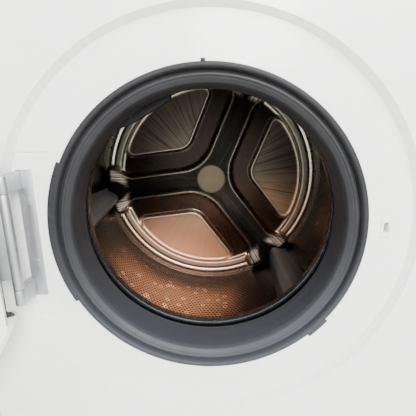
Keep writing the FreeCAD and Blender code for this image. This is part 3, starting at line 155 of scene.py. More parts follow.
# %% [markdown]
# ## Shader maths in Python
#
# A material is a graph of small nodes. Written out one by one, even a simple pattern takes a page.
# Here a socket is wrapped in a class with Python's own operators, so `1 - mask` or `a * b + 0.2` adds
# the Math nodes by itself. Only what changes over a surface goes through nodes. What is the same all
# over is set on the shader.


# %% A socket with arithmetic
class Shade:
    """An output socket that adds Math nodes when it is used in an expression."""

    def __init__(self, finish, socket):
        self.finish = finish
        self.socket = socket

    def maths(self, operation, *others):
        """A Math node with this value first."""
        values = dict(enumerate((self,) + others))
        return self.finish.node("ShaderNodeMath", {"operation": operation}, values)

    def __add__(self, other):
        return self.maths("ADD", other)

    def __sub__(self, other):
        return self.maths("SUBTRACT", other)

    def __rsub__(self, other):
        return self.finish.node("ShaderNodeMath", {"operation": "SUBTRACT"}, {0: other, 1: self})

    def __mul__(self, other):
        return self.maths("MULTIPLY", other)

    def __truediv__(self, other):
        return self.maths("DIVIDE", other)

    def __pow__(self, other):
        return self.maths("POWER", other)

    def __abs__(self):
        return self.maths("ABSOLUTE")

    __radd__ = __add__
    __rmul__ = __mul__

    def rounded(self):
        """The nearest whole number."""
        return self.maths("ROUND")

    def ramp(self, low, high):
        """0 below low, 1 above high, and smooth between them."""
        values = {"Value": self, "From Min": low, "From Max": high}
        return self.finish.node("ShaderNodeMapRange", {"interpolation_type": "SMOOTHSTEP"}, values)


# %% [markdown]
# ## One class for every material
#
# All the finishes are built in the same way. Numbers that hold all over are set on the shader, and a
# few patterns feed its colour, roughness and normal. A class keeps those steps in one place: `node`
# makes any node, and the short methods after it name the patterns that come up again and again.


# %% A finish: one material and its nodes
class Finish:
    """A material on the principled shader. Numbers that are the same all over are given by name."""

    def __init__(self, name, fixed):
        self.material = bpy.data.materials.new(name)
        self.material.use_nodes = True
        self.tree = self.material.node_tree
        self.shader = self.tree.nodes["Principled BSDF"]
        self.place = self.node("ShaderNodeTexCoord", out="Object")
        for socket, value in fixed.items():
            self.shader.inputs[socket].default_value = value

    def node(self, kind, settings=None, values=None, out=0):
        """Any node: its settings first, then the values or links of its sockets."""
        node = self.tree.nodes.new(kind)
        for name, value in (settings or {}).items():
            setattr(node, name, value)
        for key, value in (values or {}).items():
            if isinstance(value, Shade):
                self.tree.links.new(value.socket, node.inputs[key])
            else:
                node.inputs[key].default_value = value
        return Shade(self, node.outputs[out])

    def axes(self):
        """x, y and z of the point, with z counted from the drum's axis."""
        x, y, z = (self.node("ShaderNodeSeparateXYZ", values={0: self.place}, out=k) for k in range(3))
        return x, y, z - AXIS_Z

    def noise(self, scale, detail=2.0, rough=0.5, at=None):
        """Cloudy noise from 0 to 1."""
        values = {"Vector": at or self.place, "Scale": scale, "Detail": detail, "Roughness": rough}
        return self.node("ShaderNodeTexNoise", {}, values)

    def vector(self, x, y, z):
        """Three values as one vector."""
        return self.node("ShaderNodeCombineXYZ", {}, {0: x, 1: y, 2: z})

    def mix(self, first, second, share):
        """A colour between two others."""
        values = {0: share, 6: colour(first), 7: colour(second)}
        return self.node("ShaderNodeMix", {"data_type": "RGBA"}, values, out=2)

    def feed(self, **sockets):
        """Gives what varies to the shader: base_color, roughness, metallic and so on."""
        for name, value in sockets.items():
            self.tree.links.new(value.socket, self.shader.inputs[name.replace("_", " ").title()])

    def drawn(self, name):
        """A value that the mesh carries at each of its points."""
        return self.node("ShaderNodeAttribute", {"attribute_name": name}, out="Fac")

    def relief(self, height, depth_mm):
        """Small relief in the surface, from a height between 0 and 1."""
        values = {"Height": height, "Distance": depth_mm * MM, "Strength": 1.0}
        self.feed(normal=self.node("ShaderNodeBump", {}, values))


def colour(value):
    """A plain (r, g, b) gets its fourth number, and a link passes unchanged."""
    return value if isinstance(value, Shade) else (*value, 1)


# %% [markdown]
# ## Finishes of the casing
#
# The cabinet is enamelled sheet steel: very smooth, with the faint orange skin that baked paint has.
# Its covers are white mouldings with a finer grain and a warmer white. The hidden structure is zinc
# coated steel, whose crystals show as pale and dark flakes.


# %% Painted and moulded surfaces
def enamel(name, base):
    """Baked gloss paint with orange skin and faint handling marks."""
    f = Finish(name, {"Coat Weight": 0.35, "Coat Roughness": 0.08, "Specular IOR Level": 0.5})
    skin = f.noise(520, 2)
    clouds = f.noise(7, 4, 0.6)
    f.feed(base_color=f.mix(base, [c * 0.955 for c in base], clouds.ramp(0.35, 0.75)))
    f.feed(roughness=f.noise(34, 5, 0.7) * 0.16 + 0.2)
    f.relief(skin, 0.05)
    return f.material


def moulding(name, base, shine, grain=900.0, depth=0.05, tint=0.9):
    """Moulded plastic: fine grain, slow shifts of shade, duller where it is handled."""
    f = Finish(name, {"Specular IOR Level": 0.45})
    clouds = f.noise(11, 5, 0.6)
    speck = f.noise(grain * 0.6, 2)
    tone = f.mix(base, [c * tint for c in base], clouds.ramp(0.3, 0.75))
    f.feed(base_color=f.mix(tone, [c * 1.12 for c in base], speck.ramp(0.66, 0.8) * 0.3))
    f.feed(roughness=clouds * 0.14 + shine)
    f.relief(f.noise(grain, 3), depth)
    return f.material


def zinc(name, base):
    """Galvanised steel with its crystal flakes."""
    f = Finish(name, {"Metallic": 0.9})
    cells = f.node("ShaderNodeTexVoronoi", {}, {"Vector": f.place, "Scale": 95.0}, out="Color")
    flake = f.node("ShaderNodeSeparateXYZ", {}, {0: cells})
    f.feed(base_color=f.mix([c * 0.82 for c in base], base, flake * 0.7 + f.noise(20, 4) * 0.3))
    f.feed(roughness=flake * 0.18 + 0.34)
    f.relief(f.noise(260, 3), 0.04)
    return f.material


FINISHES = {
    "white_enamel": enamel("white_enamel", (0.86, 0.86, 0.85)),
    "galvanised_steel": zinc("galvanised_steel", (0.62, 0.64, 0.66)),
    "white_plastic": moulding("white_plastic", (0.83, 0.83, 0.81), 0.3, tint=0.95),
    "fascia_white": moulding("fascia_white", (0.85, 0.85, 0.84), 0.2, grain=1400, depth=0.02, tint=0.97),
    "charcoal_plastic": moulding("charcoal_plastic", (0.085, 0.083, 0.08), 0.34, grain=1100),
    "black_plastic": moulding("black_plastic", (0.022, 0.022, 0.024), 0.4),
    "tub_plastic": moulding("tub_plastic", (0.07, 0.072, 0.078), 0.42, grain=600, depth=0.08),
    "white_laminate": moulding("white_laminate", (0.84, 0.84, 0.82), 0.26, grain=700, depth=0.06, tint=0.96),
    "dark_window": moulding("dark_window", (0.012, 0.013, 0.016), 0.08, grain=200, depth=0.004),
    "concrete": moulding("concrete", (0.36, 0.35, 0.33), 0.75, grain=240, depth=0.8, tint=0.7),
}
print(len(FINISHES), "moulded and painted finishes")

# %% [markdown]
# ## Rubber and glass
#
# The door seal is grey rubber. It is never clean: it carries a patchy haze of soap. The rubber is also
# painted lighter and bluer towards the bottom of the door. That stands for light that falls there and is
# not a property of rubber, so a scene with other light may do without it.


# %% Rubber and glass
LOWER_PAINTED_LIGHT = (2.3, 2.4, 2.6)


def rubber(name, base, haze, shine):
    """Grey or black rubber with a thin bloom of soap and wear, painted lighter lower down as light."""
    f = Finish(name, {"Specular IOR Level": 0.22})
    bloom = f.noise(24, 6, 0.7).ramp(0.42, 0.8)
    lower = [c * tint for c, tint in zip(base, LOWER_PAINTED_LIGHT)]
    # Painted light: the rubber turns lighter and bluer towards the bottom, where light falls on it.
    tone = f.mix(base, lower, 1 - f.axes()[2].ramp(-0.17, 0.02))
    f.feed(base_color=f.mix(tone, haze, bloom * 0.5))
    f.feed(roughness=bloom * 0.16 + shine)
    f.relief(f.noise(420, 4, 0.6), 0.06)
    return f.material


def bowl_glass():
    """Clear pressed glass with a faint smear."""
    f = Finish("bowl_glass", {"Transmission Weight": 1.0, "IOR": 1.5, "Base Color": (0.93, 0.97, 0.96, 1)})
    f.feed(roughness=f.noise(30, 4, 0.6).ramp(0.5, 0.8) * 0.08 + 0.01)
    f.relief(f.noise(14, 1), 0.12)
    return f.material


# %% [markdown]
# ## Bare metal
#
# Machined steel shows rings from the lathe, cast alloy a sandy skin, and the heater the blue and straw
# tints of hot steel. A bare metal has little colour of its own, so most of the work is in how rough it is.


# %% Bare metal
def bare_metal(name, base, shine, rings=0.0, metal=1.0, grain=0.03):
    """Metal with a fine skin, and with turning rings about Y where rings is given."""
    f = Finish(name, {"Metallic": metal})
    tone = f.noise(16, 5, 0.65)
    fine = f.noise(700, 2)
    if rings:
        x, y, z = f.axes()
        fine = f.noise(1.0, 3, 0.6, f.vector((x * x + z * z) ** 0.5 * rings, y * rings, 0.0))
    f.feed(base_color=f.mix([c * 0.8 for c in base], base, tone.ramp(0.25, 0.7)))
    f.feed(roughness=fine * 0.16 + tone * 0.08 + shine)
    f.relief(fine, grain)
    return f.material


def hot_steel(name):
    """Steel that has been hot in water: blue and straw tints and pale scale."""
    f = Finish(name, {"Metallic": 0.8})
    tint = f.mix((0.33, 0.27, 0.2), (0.2, 0.22, 0.3), f.noise(26, 4).ramp(0.4, 0.62))
    scale = f.noise(150, 6, 0.7).ramp(0.55, 0.7)
    f.feed(base_color=f.mix(tint, (0.7, 0.68, 0.62), scale * 0.6))
    f.feed(roughness=scale * 0.35 + 0.35)
    f.relief(scale, 0.2)
    return f.material


FINISHES.update({
    "seal_rubber": rubber("seal_rubber", (0.017, 0.0175, 0.019), (0.034, 0.034, 0.037), 0.46),
    "black_rubber": rubber("black_rubber", (0.02, 0.02, 0.02), (0.05, 0.05, 0.05), 0.55),
    "bowl_glass": bowl_glass(),
    "bright_steel": bare_metal("bright_steel", (0.62, 0.62, 0.62), 0.2, rings=1500.0),
    "trim_chrome": bare_metal("trim_chrome", (0.78, 0.78, 0.79), 0.07, grain=0.002),
    "hinge_alloy": bare_metal("hinge_alloy", (0.5, 0.51, 0.53), 0.34),
    "cast_alloy": bare_metal("cast_alloy", (0.56, 0.57, 0.58), 0.42, grain=0.25),
    "element_steel": hot_steel("element_steel"),
})
print(len(FINISHES), "finishes so far")

# %% [markdown]
# ## Stainless steel of the drum
#
# The drum is bright rolled steel, and bright steel shows mostly what stands around it. Deep in the
# machine that is darkness, so the raised arms look almost black, while edges and the lowest plate catch
# the light and turn cream and copper. Here those looks are painted into the colour: painted reflection
# darkens the arms, painted shade fills the channels, painted light turns the lowest plate copper, and
# painted highlights lie along the edges of arms, plates and ring and on the feet of the arms. The
# pressing further down stores which region each point is in, and the finish reads those values. Streaks
# run outwards from the hub, as polishing leaves them. The tints are painted by place on the drum, so they
# turn when the drum turns.


# %% Steel of the pressed back
# Painted light and shade: the drum's steels change colour with height, mostly lighter at the foot.
PAINTED_LIGHT_LEAN = -0.12
PAINTED_LIGHT_LOW, PAINTED_LIGHT_HIGH = -0.13, 0.01


def painted_light_by_height(f, x, z, top, bottom):
    """A colour that turns from one at the top of the drum to another at its foot: painted light and shade."""
    drift = f.noise(9, 3) * 0.08 - 0.04
    return f.mix(bottom, top, (z + x * PAINTED_LIGHT_LEAN + drift).ramp(PAINTED_LIGHT_LOW, PAINTED_LIGHT_HIGH))


def pressed_steel(name):
    """The drum back: painted dark reflection on arms, painted shade in channels, streaked lobes, bright edges
    and ring.
    """
    f = Finish(name, {"Metallic": 1.0})
    x, y, z = f.axes()
    radius = (x * x + z * z) ** 0.5 + 0.001
    streak = f.noise(1.0, 6, 0.65, f.vector(x / radius * 34, z / radius * 34, radius * 5.0))
    # Painted reflection: the arms are nearly black, as steel that mirrors the dark machine.
    arm = painted_light_by_height(f, x, z, (0.012, 0.011, 0.009), (0.055, 0.045, 0.036))
    arm = f.mix(arm, (0.2, 0.17, 0.14), streak.ramp(0.55, 0.8) * 0.35)
    # Painted light: the plates are copper at the foot of the drum and dark at its top.
    lobe = painted_light_by_height(f, x, z, (0.12, 0.1, 0.076), (0.86, 0.5, 0.3))
    # Polishing streaks, darkened further by painted shade on the upper and right plates.
    streaks_with_painted_shade = streak.ramp(0.44, 0.7) * ((z + x * 0.6).ramp(-0.09, 0.02) * 0.75 + 0.12)
    lobe = f.mix(lobe, f.mix(lobe, (0.02, 0.015, 0.011), 0.8), streaks_with_painted_shade)
    ring = painted_light_by_height(f, x, z, (0.5, 0.49, 0.38), (0.6, 0.4, 0.29))
    # Painted shade fills the channels.
    channel = painted_light_by_height(f, x, z, (0.03, 0.023, 0.018), (0.1, 0.05, 0.03))
    tone = f.mix(ring, lobe, f.drawn("lobe"))
    tone = f.mix(tone, arm, f.drawn("arm"))
    tone = f.mix(tone, channel, f.drawn("channel"))
    lines = f.noise(1.0, 4, 0.7, f.vector(x / radius * 110, z / radius * 110, radius * 9.0))
    # Painted highlights in brushed lines on the feet of the arms.
    brushed_highlight = f.mix((0.06, 0.042, 0.032), (0.98, 0.84, 0.7), lines.ramp(0.42, 0.56))
    tone = f.mix(tone, brushed_highlight, f.drawn("foot"))
    # Painted highlights along the beads at the edges.
    f.feed(base_color=f.mix(tone, (0.74, 0.63, 0.5), f.drawn("crest")))
    satin = f.drawn("ring") * 0.24 + f.drawn("foot") * 0.26 + f.drawn("lobe") * 0.1
    f.feed(roughness=streak * 0.16 + f.noise(60, 4, 0.7) * 0.08 + satin + 0.17)
    f.relief(streak, 0.05)
    return f.material


# %% [markdown]
# ## Steel of the punched wall
#
# The holes stand in staggered rows. The counts of rows and columns given here place both the dark
# dimples of this finish, painted shade round each hole, and the real openings further down, so that
# each dimple lies on its hole.
# Painted shade makes patches beside the lifters and a band at the back of the wall nearly black.


# %% Steel of the punched wall and the mouth
HOLE_COLUMNS = 216
HOLE_ROWS = 42
COLUMN_STEP, ROW_STEP = 7.06, 6.95
WALL_LOW, WALL_HIGH = shell_low.y, shell_high.y


def punched_steel(name):
    """The wall: copper where it faces up as painted light, painted shade round each hole and beside the
    lifters.
    """
    f = Finish(name, {"Metallic": 1.0})
    x, y, z = f.axes()
    around = z.maths("ARCTAN2", x) / math.tau * HOLE_COLUMNS - LIFTERS[0] / math.tau * HOLE_COLUMNS
    along = (y - WALL_LOW) / (WALL_HIGH - WALL_LOW) * HOLE_ROWS
    row = along.rounded()
    odd = row - (row * 0.5).maths("FLOOR") * 2.0
    column = around - odd * 0.5 + 0.25
    across = column - column.rounded()
    off = ((across * COLUMN_STEP) ** 2 + ((along - row) * ROW_STEP) ** 2) ** 0.5
    # Painted shade: a dark ring round each hole stands for the dark of the opening.
    dimple_shade = 1 - off.ramp(2.0, 3.2)
    cell = f.node("ShaderNodeTexWhiteNoise", {}, {"Vector": f.vector(column.rounded(), row, 0.0)})
    third = around / (HOLE_COLUMNS / 3)
    beside = abs(third - third.rounded())
    cloud = f.noise(18, 4, 0.7) * 0.1 - 0.05
    # Painted shade beside the lifters, and in a band at the back of the wall.
    shade = 1 - (beside + cloud * 1.6).ramp(0.18, 0.25)
    back_shade = (along + cloud * 60).ramp(HOLE_ROWS - 12, HOLE_ROWS - 6)
    # Painted light: the wall is copper at the foot of the drum and darker at its top.
    tone = painted_light_by_height(f, x, z, (0.075, 0.064, 0.052), (0.13, 0.074, 0.05))
    # Painted glints: a few holes, picked at random, are ringed lighter.
    tone = f.mix(tone, f.mix(tone, (0.9, 0.8, 0.7), 0.38), cell.ramp(0.93, 1.0))
    tone = f.mix(tone, (0.018, 0.014, 0.012), (shade * 0.92).maths("MAXIMUM", back_shade * 0.9))
    f.feed(base_color=f.mix(tone, (0.008, 0.006, 0.005), dimple_shade))
    f.feed(roughness=f.noise(60, 4, 0.7) * 0.12 + 0.24)
    f.relief(1 - dimple_shade, 0.3)
    return f.material


def smooth_steel(name, tones, shine):
    """Drawn sheet with soft rings of its turning, with light and shade painted by height."""
    f = Finish(name, {"Metallic": 1.0})
    x, y, z = f.axes()
    rings = f.noise(1.0, 3, 0.6, f.vector((x * x + z * z) ** 0.5 * 900, y * 900, 0.0))
    f.feed(base_color=painted_light_by_height(f, x, z, *tones), roughness=rings * 0.12 + f.noise(40, 4) * 0.08 + shine)
    f.relief(rings, 0.02)
    return f.material


BACK_STEEL = pressed_steel("drum_back_steel")
WALL_STEEL = punched_steel("drum_wall_steel")
# Painted light: the mouth's steel is lighter and bluer at the foot of the drum.
MOUTH_STEEL = smooth_steel("drum_mouth_steel", ((0.2, 0.19, 0.18), (0.34, 0.38, 0.42)), 0.16)
FINISHES["drum_steel"] = MOUTH_STEEL
FINISHES["cap_plastic"] = bare_metal("cap_satin", (0.19, 0.155, 0.085), 0.42, metal=0.3, grain=0.05)
print("drum steels ready")

# %% [markdown]
# ## Give every part its finish
#
# The record of the machine says which material slot each part has. Each slot has a finish here, so
# one loop dresses them all. The pieces that are modelled again further down are then hidden.

# %% Dress the parts
slot_of = {part["node"]: part["material_slot"] for part in frame["record"]["subparts"]}
for node, solid in frame["nodes"].items():
    if not solid.material_slots:
        solid.data.materials.append(None)
    solid.material_slots[0].material = FINISHES[slot_of[node]]
print("dressed", len(frame["nodes"]), "parts in", len(set(slot_of.values())), "finishes")

# %% [markdown]
# ## Tools for turned forms
#
# Most of the front of the machine is turned: an outline goes once round the drum's axis. `turned`
# draws the outline as a chain of points, rounds the corners that ask for it with a vertex bevel, and
# spins it. A third number at a point is that corner's rounding.


# %% Turn an outline and hand in a piece
def turned(outline, centre=(0.0, AXIS_Z), steps=160, soft_steps=4):
    """A closed form: (radius, y, rounding) points in millimetres go round an axis along Y."""
    bm = bmesh.new()
    verts = [bm.verts.new((centre[0] + p[0] * MM, p[1] * MM, centre[1])) for p in outline]
    for first, second in zip(verts, verts[1:] + verts[:1]):
        bm.edges.new((first, second))
    for vert, point in zip(verts, outline):
        if len(point) > 2:
            bmesh.ops.bevel(bm, geom=[vert], offset=point[2] * MM, segments=soft_steps,
                            affect="VERTICES", profile=0.5, material=-1)
    bmesh.ops.spin(bm, geom=bm.verts[:] + bm.edges[:], cent=(centre[0], 0, centre[1]), axis=(0, 1, 0),
                   angle=math.tau, steps=steps, use_merge=True)
    bmesh.ops.remove_doubles(bm, verts=bm.verts, dist=0.01 * MM)
    on_axis = [edge for edge in bm.edges if not edge.link_faces]
    bmesh.ops.delete(bm, geom=on_axis, context="EDGES")
    bmesh.ops.recalc_face_normals(bm, faces=bm.faces)
    return bm


def hand_in(bm, name, finish, body=None, stands_for=(), sharp=35.0):
    """Makes a piece of the mesh, with its finish and the body that it rides on."""
    mesh = bpy.data.meshes.new(name)
    bm.to_mesh(mesh)
    bm.free()
    mesh.materials.append(finish)
    mesh.shade_smooth()
    mesh.set_sharp_from_angle(angle=math.radians(sharp))
    piece = bpy.data.objects.new(name, mesh)
    bpy.context.scene.collection.objects.link(piece)
    if stands_for:
        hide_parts(*stands_for)
    if body:
        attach(piece, body)
    print(name, len(mesh.polygons), "faces")
    return piece


# %% [markdown]
# ## Drum back
#
# The back of the drum is one pressed sheet: three hollow arms meet at the hub, a deep channel runs
# along each arm, and three lobed plates lie between them inside a raised ring. Boolean cuts would
# leave hard steps where a press leaves soft ones. A fine polar net is better: it is spun from one
# spoke, and each point then moves towards the viewer by a height that is worked out from its distance
# to the arms, the lobes and the ring.


# %% Heights of the pressing
def ease(value, low, high):
    """0 at low, 1 at high, and smooth between them."""
    t = min(max((value - low) / (high - low), 0.0), 1.0)
    return t * t * (3 - 2 * t)


ARM_HALF = 29.0
ARM_HEIGHT, ARM_CROWN = 15.2, 2.2
LOBE_HEIGHT = RING_HEIGHT = 7.0
FILLET = 80.0
LOBE_GAP = 44.0
LOBE_R = 201.0
LOBE_CORNER = 22.0
HALF_GAP = math.radians(60)
REGIONS = ("arm", "lobe", "channel", "crest", "foot", "ring")


def bump(value, middle, width):
    """A soft rounded bead: 1 at the middle and nothing a few widths away."""
    return math.exp(-((value - middle) / width) ** 2)


def off_arm(along, across):
    """Distance in millimetres from the edge of the star, seen from the middle line of a lobe."""
    across = abs(across)
    straight = along * math.sin(HALF_GAP) - across * math.cos(HALF_GAP) - ARM_HALF
    reach = along * math.cos(HALF_GAP) + across * math.sin(HALF_GAP)
    centre = (FILLET + ARM_HALF) / math.sin(HALF_GAP)
    if reach < centre * math.cos(HALF_GAP):
        return FILLET - math.hypot(along - centre, across), reach
    return straight, reach


def pressed(radius, angle):
    """Height of the sheet towards the viewer at a point, and which regions the point is in."""
    lobe_at = min((arm + HALF_GAP for arm in ARMS), key=lambda a: abs(math.remainder(angle - a, math.tau)))
    side = math.remainder(angle - lobe_at, math.tau)
    plain_edge, reach = off_arm(radius * math.cos(side), radius * math.sin(side))
    edge = plain_edge - 24.0 * ease(reach, 176, 226)
    fall = 1.0 - ease(radius, 229, 239)
    on_arm = 1.0 - ease(edge, -6, 5)
    height = (ARM_HEIGHT + ARM_CROWN * ease(-edge, 0, 26)) * on_arm * fall + 1.5 * bump(edge, -5, 3.2) * fall
    lobe_edge = min(plain_edge - LOBE_GAP, LOBE_R - radius)
    corner = LOBE_CORNER
    if plain_edge - LOBE_GAP < corner and LOBE_R - radius < corner:
        lobe_edge = corner - math.hypot(corner - (plain_edge - LOBE_GAP), corner - (LOBE_R - radius))
    lobe = LOBE_HEIGHT * ease(lobe_edge, -5, 2) + 1.2 * bump(lobe_edge, 2.5, 1.8)
    between = ease(edge, 3, 12)
    ring = RING_HEIGHT * between * (ease(radius, 204, 208) - ease(radius, 219, 223))
    outer = 1.8 * between * (ease(radius, 226, 229) - ease(radius, 233, 236))
    trough = ease(edge, -2, 6) * (1 - ease(lobe_edge, -7, -1)) * (1 - ease(radius, 198, 205))
    height = max(height, lobe, ring, outer, 0.0) - 1.0 * trough
    crest = max(bump(edge, -4.5, 1.7) * (1 - ease(radius, 196, 210)), bump(lobe_edge, 2.4, 1.5) * 0.8,
                between * bump(radius, 208.5, 1.4) * 0.25, between * bump(radius, 229.5, 1.4) * 0.3)
    foot = ease(reach, 186, 204) * ease(edge, -32, -22) * (1 - ease(edge, -2, 3)) * fall
    band = between * ease(radius, 204, 207) * (1 - ease(radius, 221, 224))
    return height, (on_arm, ease(lobe_edge, -3, 1), trough, min(crest, 1.0), foot, band)


# %% [markdown]
# ## Press the sheet
#
# The beads along the edges are only a few millimetres wide, so the net has to be fine: 128 steps from
# the middle to the rim, and 600 round it. Each point keeps its share of every region as an attribute of
# the mesh, for the finish to read. The rim is then drawn back and closed behind, which makes it a solid.


# %% Press the drum back
SPOKE_STEPS = 128
ROUND_STEPS = 600


def press_drum_back():
    """Spins a spoke into a polar net and presses it."""
    bm = bmesh.new()
    edge_r = WALL_IN / MM - 0.4
    spoke = [bm.verts.new((edge_r * k / SPOKE_STEPS * MM, PLATE_Y, AXIS_Z)) for k in range(SPOKE_STEPS + 1)]
    for first, second in zip(spoke, spoke[1:]):
        bm.edges.new((first, second))
    bmesh.ops.spin(bm, geom=bm.verts[:] + bm.edges[:], cent=AXIS, axis=(0, 1, 0), angle=math.tau,
                   steps=ROUND_STEPS, use_merge=True)
    bmesh.ops.remove_doubles(bm, verts=bm.verts, dist=0.01 * MM)
    layers = [bm.verts.layers.float.new(name) for name in REGIONS]
    for vert in bm.verts:
        radius = math.hypot(vert.co.x, vert.co.z - AXIS_Z) / MM
        height, shares = pressed(radius, math.atan2(vert.co.z - AXIS_Z, vert.co.x))
        for layer, share in zip(layers, shares):
            vert[layer] = share
        vert.co.y -= height * MM
    rim = [edge for edge in bm.edges if edge.is_boundary]
    back = bmesh.ops.extrude_edge_only(bm, edges=rim)["geom"]
    for vert in (g for g in back if isinstance(g, bmesh.types.BMVert)):
        vert.co.y = PLATE_Y + 1.2 * MM
    bmesh.ops.contextual_create(bm, geom=[g for g in back if isinstance(g, bmesh.types.BMEdge)])
    bmesh.ops.recalc_face_normals(bm, faces=bm.faces)
    return bm


hand_in(press_drum_back(), "pressed_drum_back", BACK_STEEL, "drum", ["drum_back"], 60)

# %% [markdown]
# ## Hub cover
#
# The middle of the drum's back is covered by a shallow round cap. It is turned from an outline, and the
# small radius at its rim catches the light.

# %% Turn the hub cover
CAP_FRONT, CAP_BACK = cap_low.y / MM, cap_high.y / MM
hub_outline = [(0, CAP_FRONT), (20, CAP_FRONT + 0.5, 3), (30.6, CAP_FRONT + 1.4, 1.2),
               (32.2, CAP_FRONT + 3.2, 0.8), (32.4, CAP_BACK), (0, CAP_BACK)]
hand_in(turned(hub_outline, steps=96), "hub_cover", FINISHES["cap_plastic"], "drum",
        ["hub_cap"], 50)


# %% [markdown]
# ## Perforated drum wall
#
# The wall has thousands of small holes. Cutting them one by one would take minutes. Instead a flat net
# has one corner for each hole, and a vertex bevel opens every corner into an eight-sided face, which is
# deleted. The net is then bent round the drum. It is made in three stretches that meet under the
# lifters, where the real wall has no holes.


# %% Punch and bend one stretch of the wall
COLUMNS = HOLE_COLUMNS // 3
PLAIN_COLUMNS = 4
HOLE_HALF = 1.9 * MM
DIMPLE = 0.5 * MM
SHEET = 0.9 * MM


def punched_wall():
    """One third of the wall, centred on the angle 0."""
    bm = bmesh.new()
    length = WALL_HIGH - WALL_LOW
    middle_y = (WALL_LOW + WALL_HIGH) / 2
    pitch = math.tau / 3 / COLUMNS
    bmesh.ops.create_grid(bm, x_segments=COLUMNS, y_segments=HOLE_ROWS, size=0.5)
    bmesh.ops.scale(bm, vec=(COLUMNS * pitch * WALL_IN, length, 1), verts=bm.verts)
    open_x = (COLUMNS / 2 - PLAIN_COLUMNS - 0.1) * pitch * WALL_IN
    punched = []
    for vert in bm.verts:
        row = round((vert.co.y / length + 0.5) * HOLE_ROWS)
        if abs(vert.co.x) < open_x and 1 < row < HOLE_ROWS - 1:
            vert.co.x += (row % 2 - 0.5) * 0.5 * pitch * WALL_IN
            vert.co.z -= DIMPLE
            punched.append(vert)
    opened = bmesh.ops.bevel(bm, geom=punched, offset=HOLE_HALF, segments=2, affect="VERTICES",
                             profile=0.5, material=-1)
    bmesh.ops.delete(bm, geom=opened["faces"], context="FACES")
    for vert in bm.verts:
        angle = vert.co.x / WALL_IN
        radius = WALL_IN - vert.co.z
        vert.co = (radius * math.cos(angle), vert.co.y + middle_y, radius * math.sin(angle))
    bmesh.ops.recalc_face_normals(bm, faces=bm.faces)
    middle = bm.faces[0].calc_center_median()
    if bm.faces[0].normal.x * middle.x + bm.faces[0].normal.z * middle.z > 0:
        bmesh.ops.reverse_faces(bm, faces=bm.faces)
    bmesh.ops.solidify(bm, geom=bm.faces[:], thickness=SHEET)
    bmesh.ops.translate(bm, vec=AXIS, verts=bm.verts)
    return bm


for number, lifter in enumerate(LIFTERS, start=1):
    stretch = punched_wall()
    turn = Matrix.Rotation(-lifter - math.tau / 6, 3, "Y")
    bmesh.ops.rotate(stretch, cent=AXIS, matrix=turn, verts=stretch.verts)
    hand_in(stretch, f"drum_wall_{number}", WALL_STEEL, "drum",
            ["drum_shell"] if number == 1 else (), 50)

# %% [markdown]
# ## Lifters
#
# Three ribs along the wall lift the wet washing. A real one is a moulding with soft shoulders and a
# sharp rounded crest, lower at the back. One cross-section is drawn, its corners are rounded with a
# vertex bevel, and it is extruded along the drum in steps, each a little narrower and lower.

# %% Loft the lifters
lift_low, lift_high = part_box("drum_lifters")
LIFT_STEPS = 14
LIFT_FEET = 238.0
LIFT_CREST = 202.5
LIFT_NARROWS = 0.35
LIFT_DROPS = 0.3
END_ANGLE = 1.2


def lifter_shape(angle):
    """One closed lifter at an angle of the drum."""
    bm = bmesh.new()
    half = [(42, LIFT_FEET), (37, LIFT_FEET - 3), (22, LIFT_CREST + 14), (8, LIFT_CREST + 0.5)]
    outline = half + [(-across, r) for across, r in reversed(half)]
    start, end = lift_low.y + 1 * MM, lift_high.y - 1 * MM
    verts = [bm.verts.new((r * MM, start, across * MM)) for across, r in outline]
    for first, second in zip(verts, verts[1:] + verts[:1]):
        bm.edges.new((first, second))
    for vert, soft in zip(verts, (1, 3, 9, 5, 5, 9, 3, 1)):
        bmesh.ops.bevel(bm, geom=[vert], offset=soft * MM, segments=4, affect="VERTICES", profile=0.5,
                        material=-1)
    section = bm.edges[:]
    bmesh.ops.contextual_create(bm, geom=section)
    for step in range(1, LIFT_STEPS + 1):
        share = step / LIFT_STEPS
        grown = bmesh.ops.extrude_edge_only(bm, edges=section)["geom"]
        moved = [g for g in grown if isinstance(g, bmesh.types.BMVert)]
        section = [g for g in grown if isinstance(g, bmesh.types.BMEdge) and all(v in moved for v in g.verts)]
        for vert in moved:
            vert.co.y = start + (end - start) * share
            vert.co.z *= 1 - LIFT_NARROWS / LIFT_STEPS * (1 + share)
            tall = LIFT_FEET * MM - vert.co.x
            vert.co.x += tall * LIFT_DROPS / LIFT_STEPS * (1 + share)
    bmesh.ops.contextual_create(bm, geom=section)
    bmesh.ops.recalc_face_normals(bm, faces=bm.faces)
    ends = [edge for edge in bm.edges if len(edge.link_faces) == 2 and edge.calc_face_angle(0) > END_ANGLE]
    bmesh.ops.bevel(bm, geom=ends, offset=2.5 * MM, segments=3, affect="EDGES", profile=0.5, material=-1)
    bmesh.ops.rotate(bm, cent=(0, 0, 0), matrix=Matrix.Rotation(-angle, 3, "Y"), verts=bm.verts)
    bmesh.ops.translate(bm, vec=AXIS, verts=bm.verts)
    return bm


for number, angle in enumerate(LIFTERS, start=1):
    hand_in(lifter_shape(angle), f"lifter_rib_{number}", FINISHES["charcoal_plastic"],
            "drum", ["drum_lifters"] if number == 1 else (), 60)

# %% [markdown]
# ## Door seal
#
# The seal is one thick rubber bellows. Its lip folds out over the panel, behind it lie a groove and a
# ridge that the door presses on, then a smooth throat, and at the back it grips the tub. It is turned
# from one outline with rounded corners. The tub bounces on its springs while the panel stands still,
# and the seal here rides on no body.

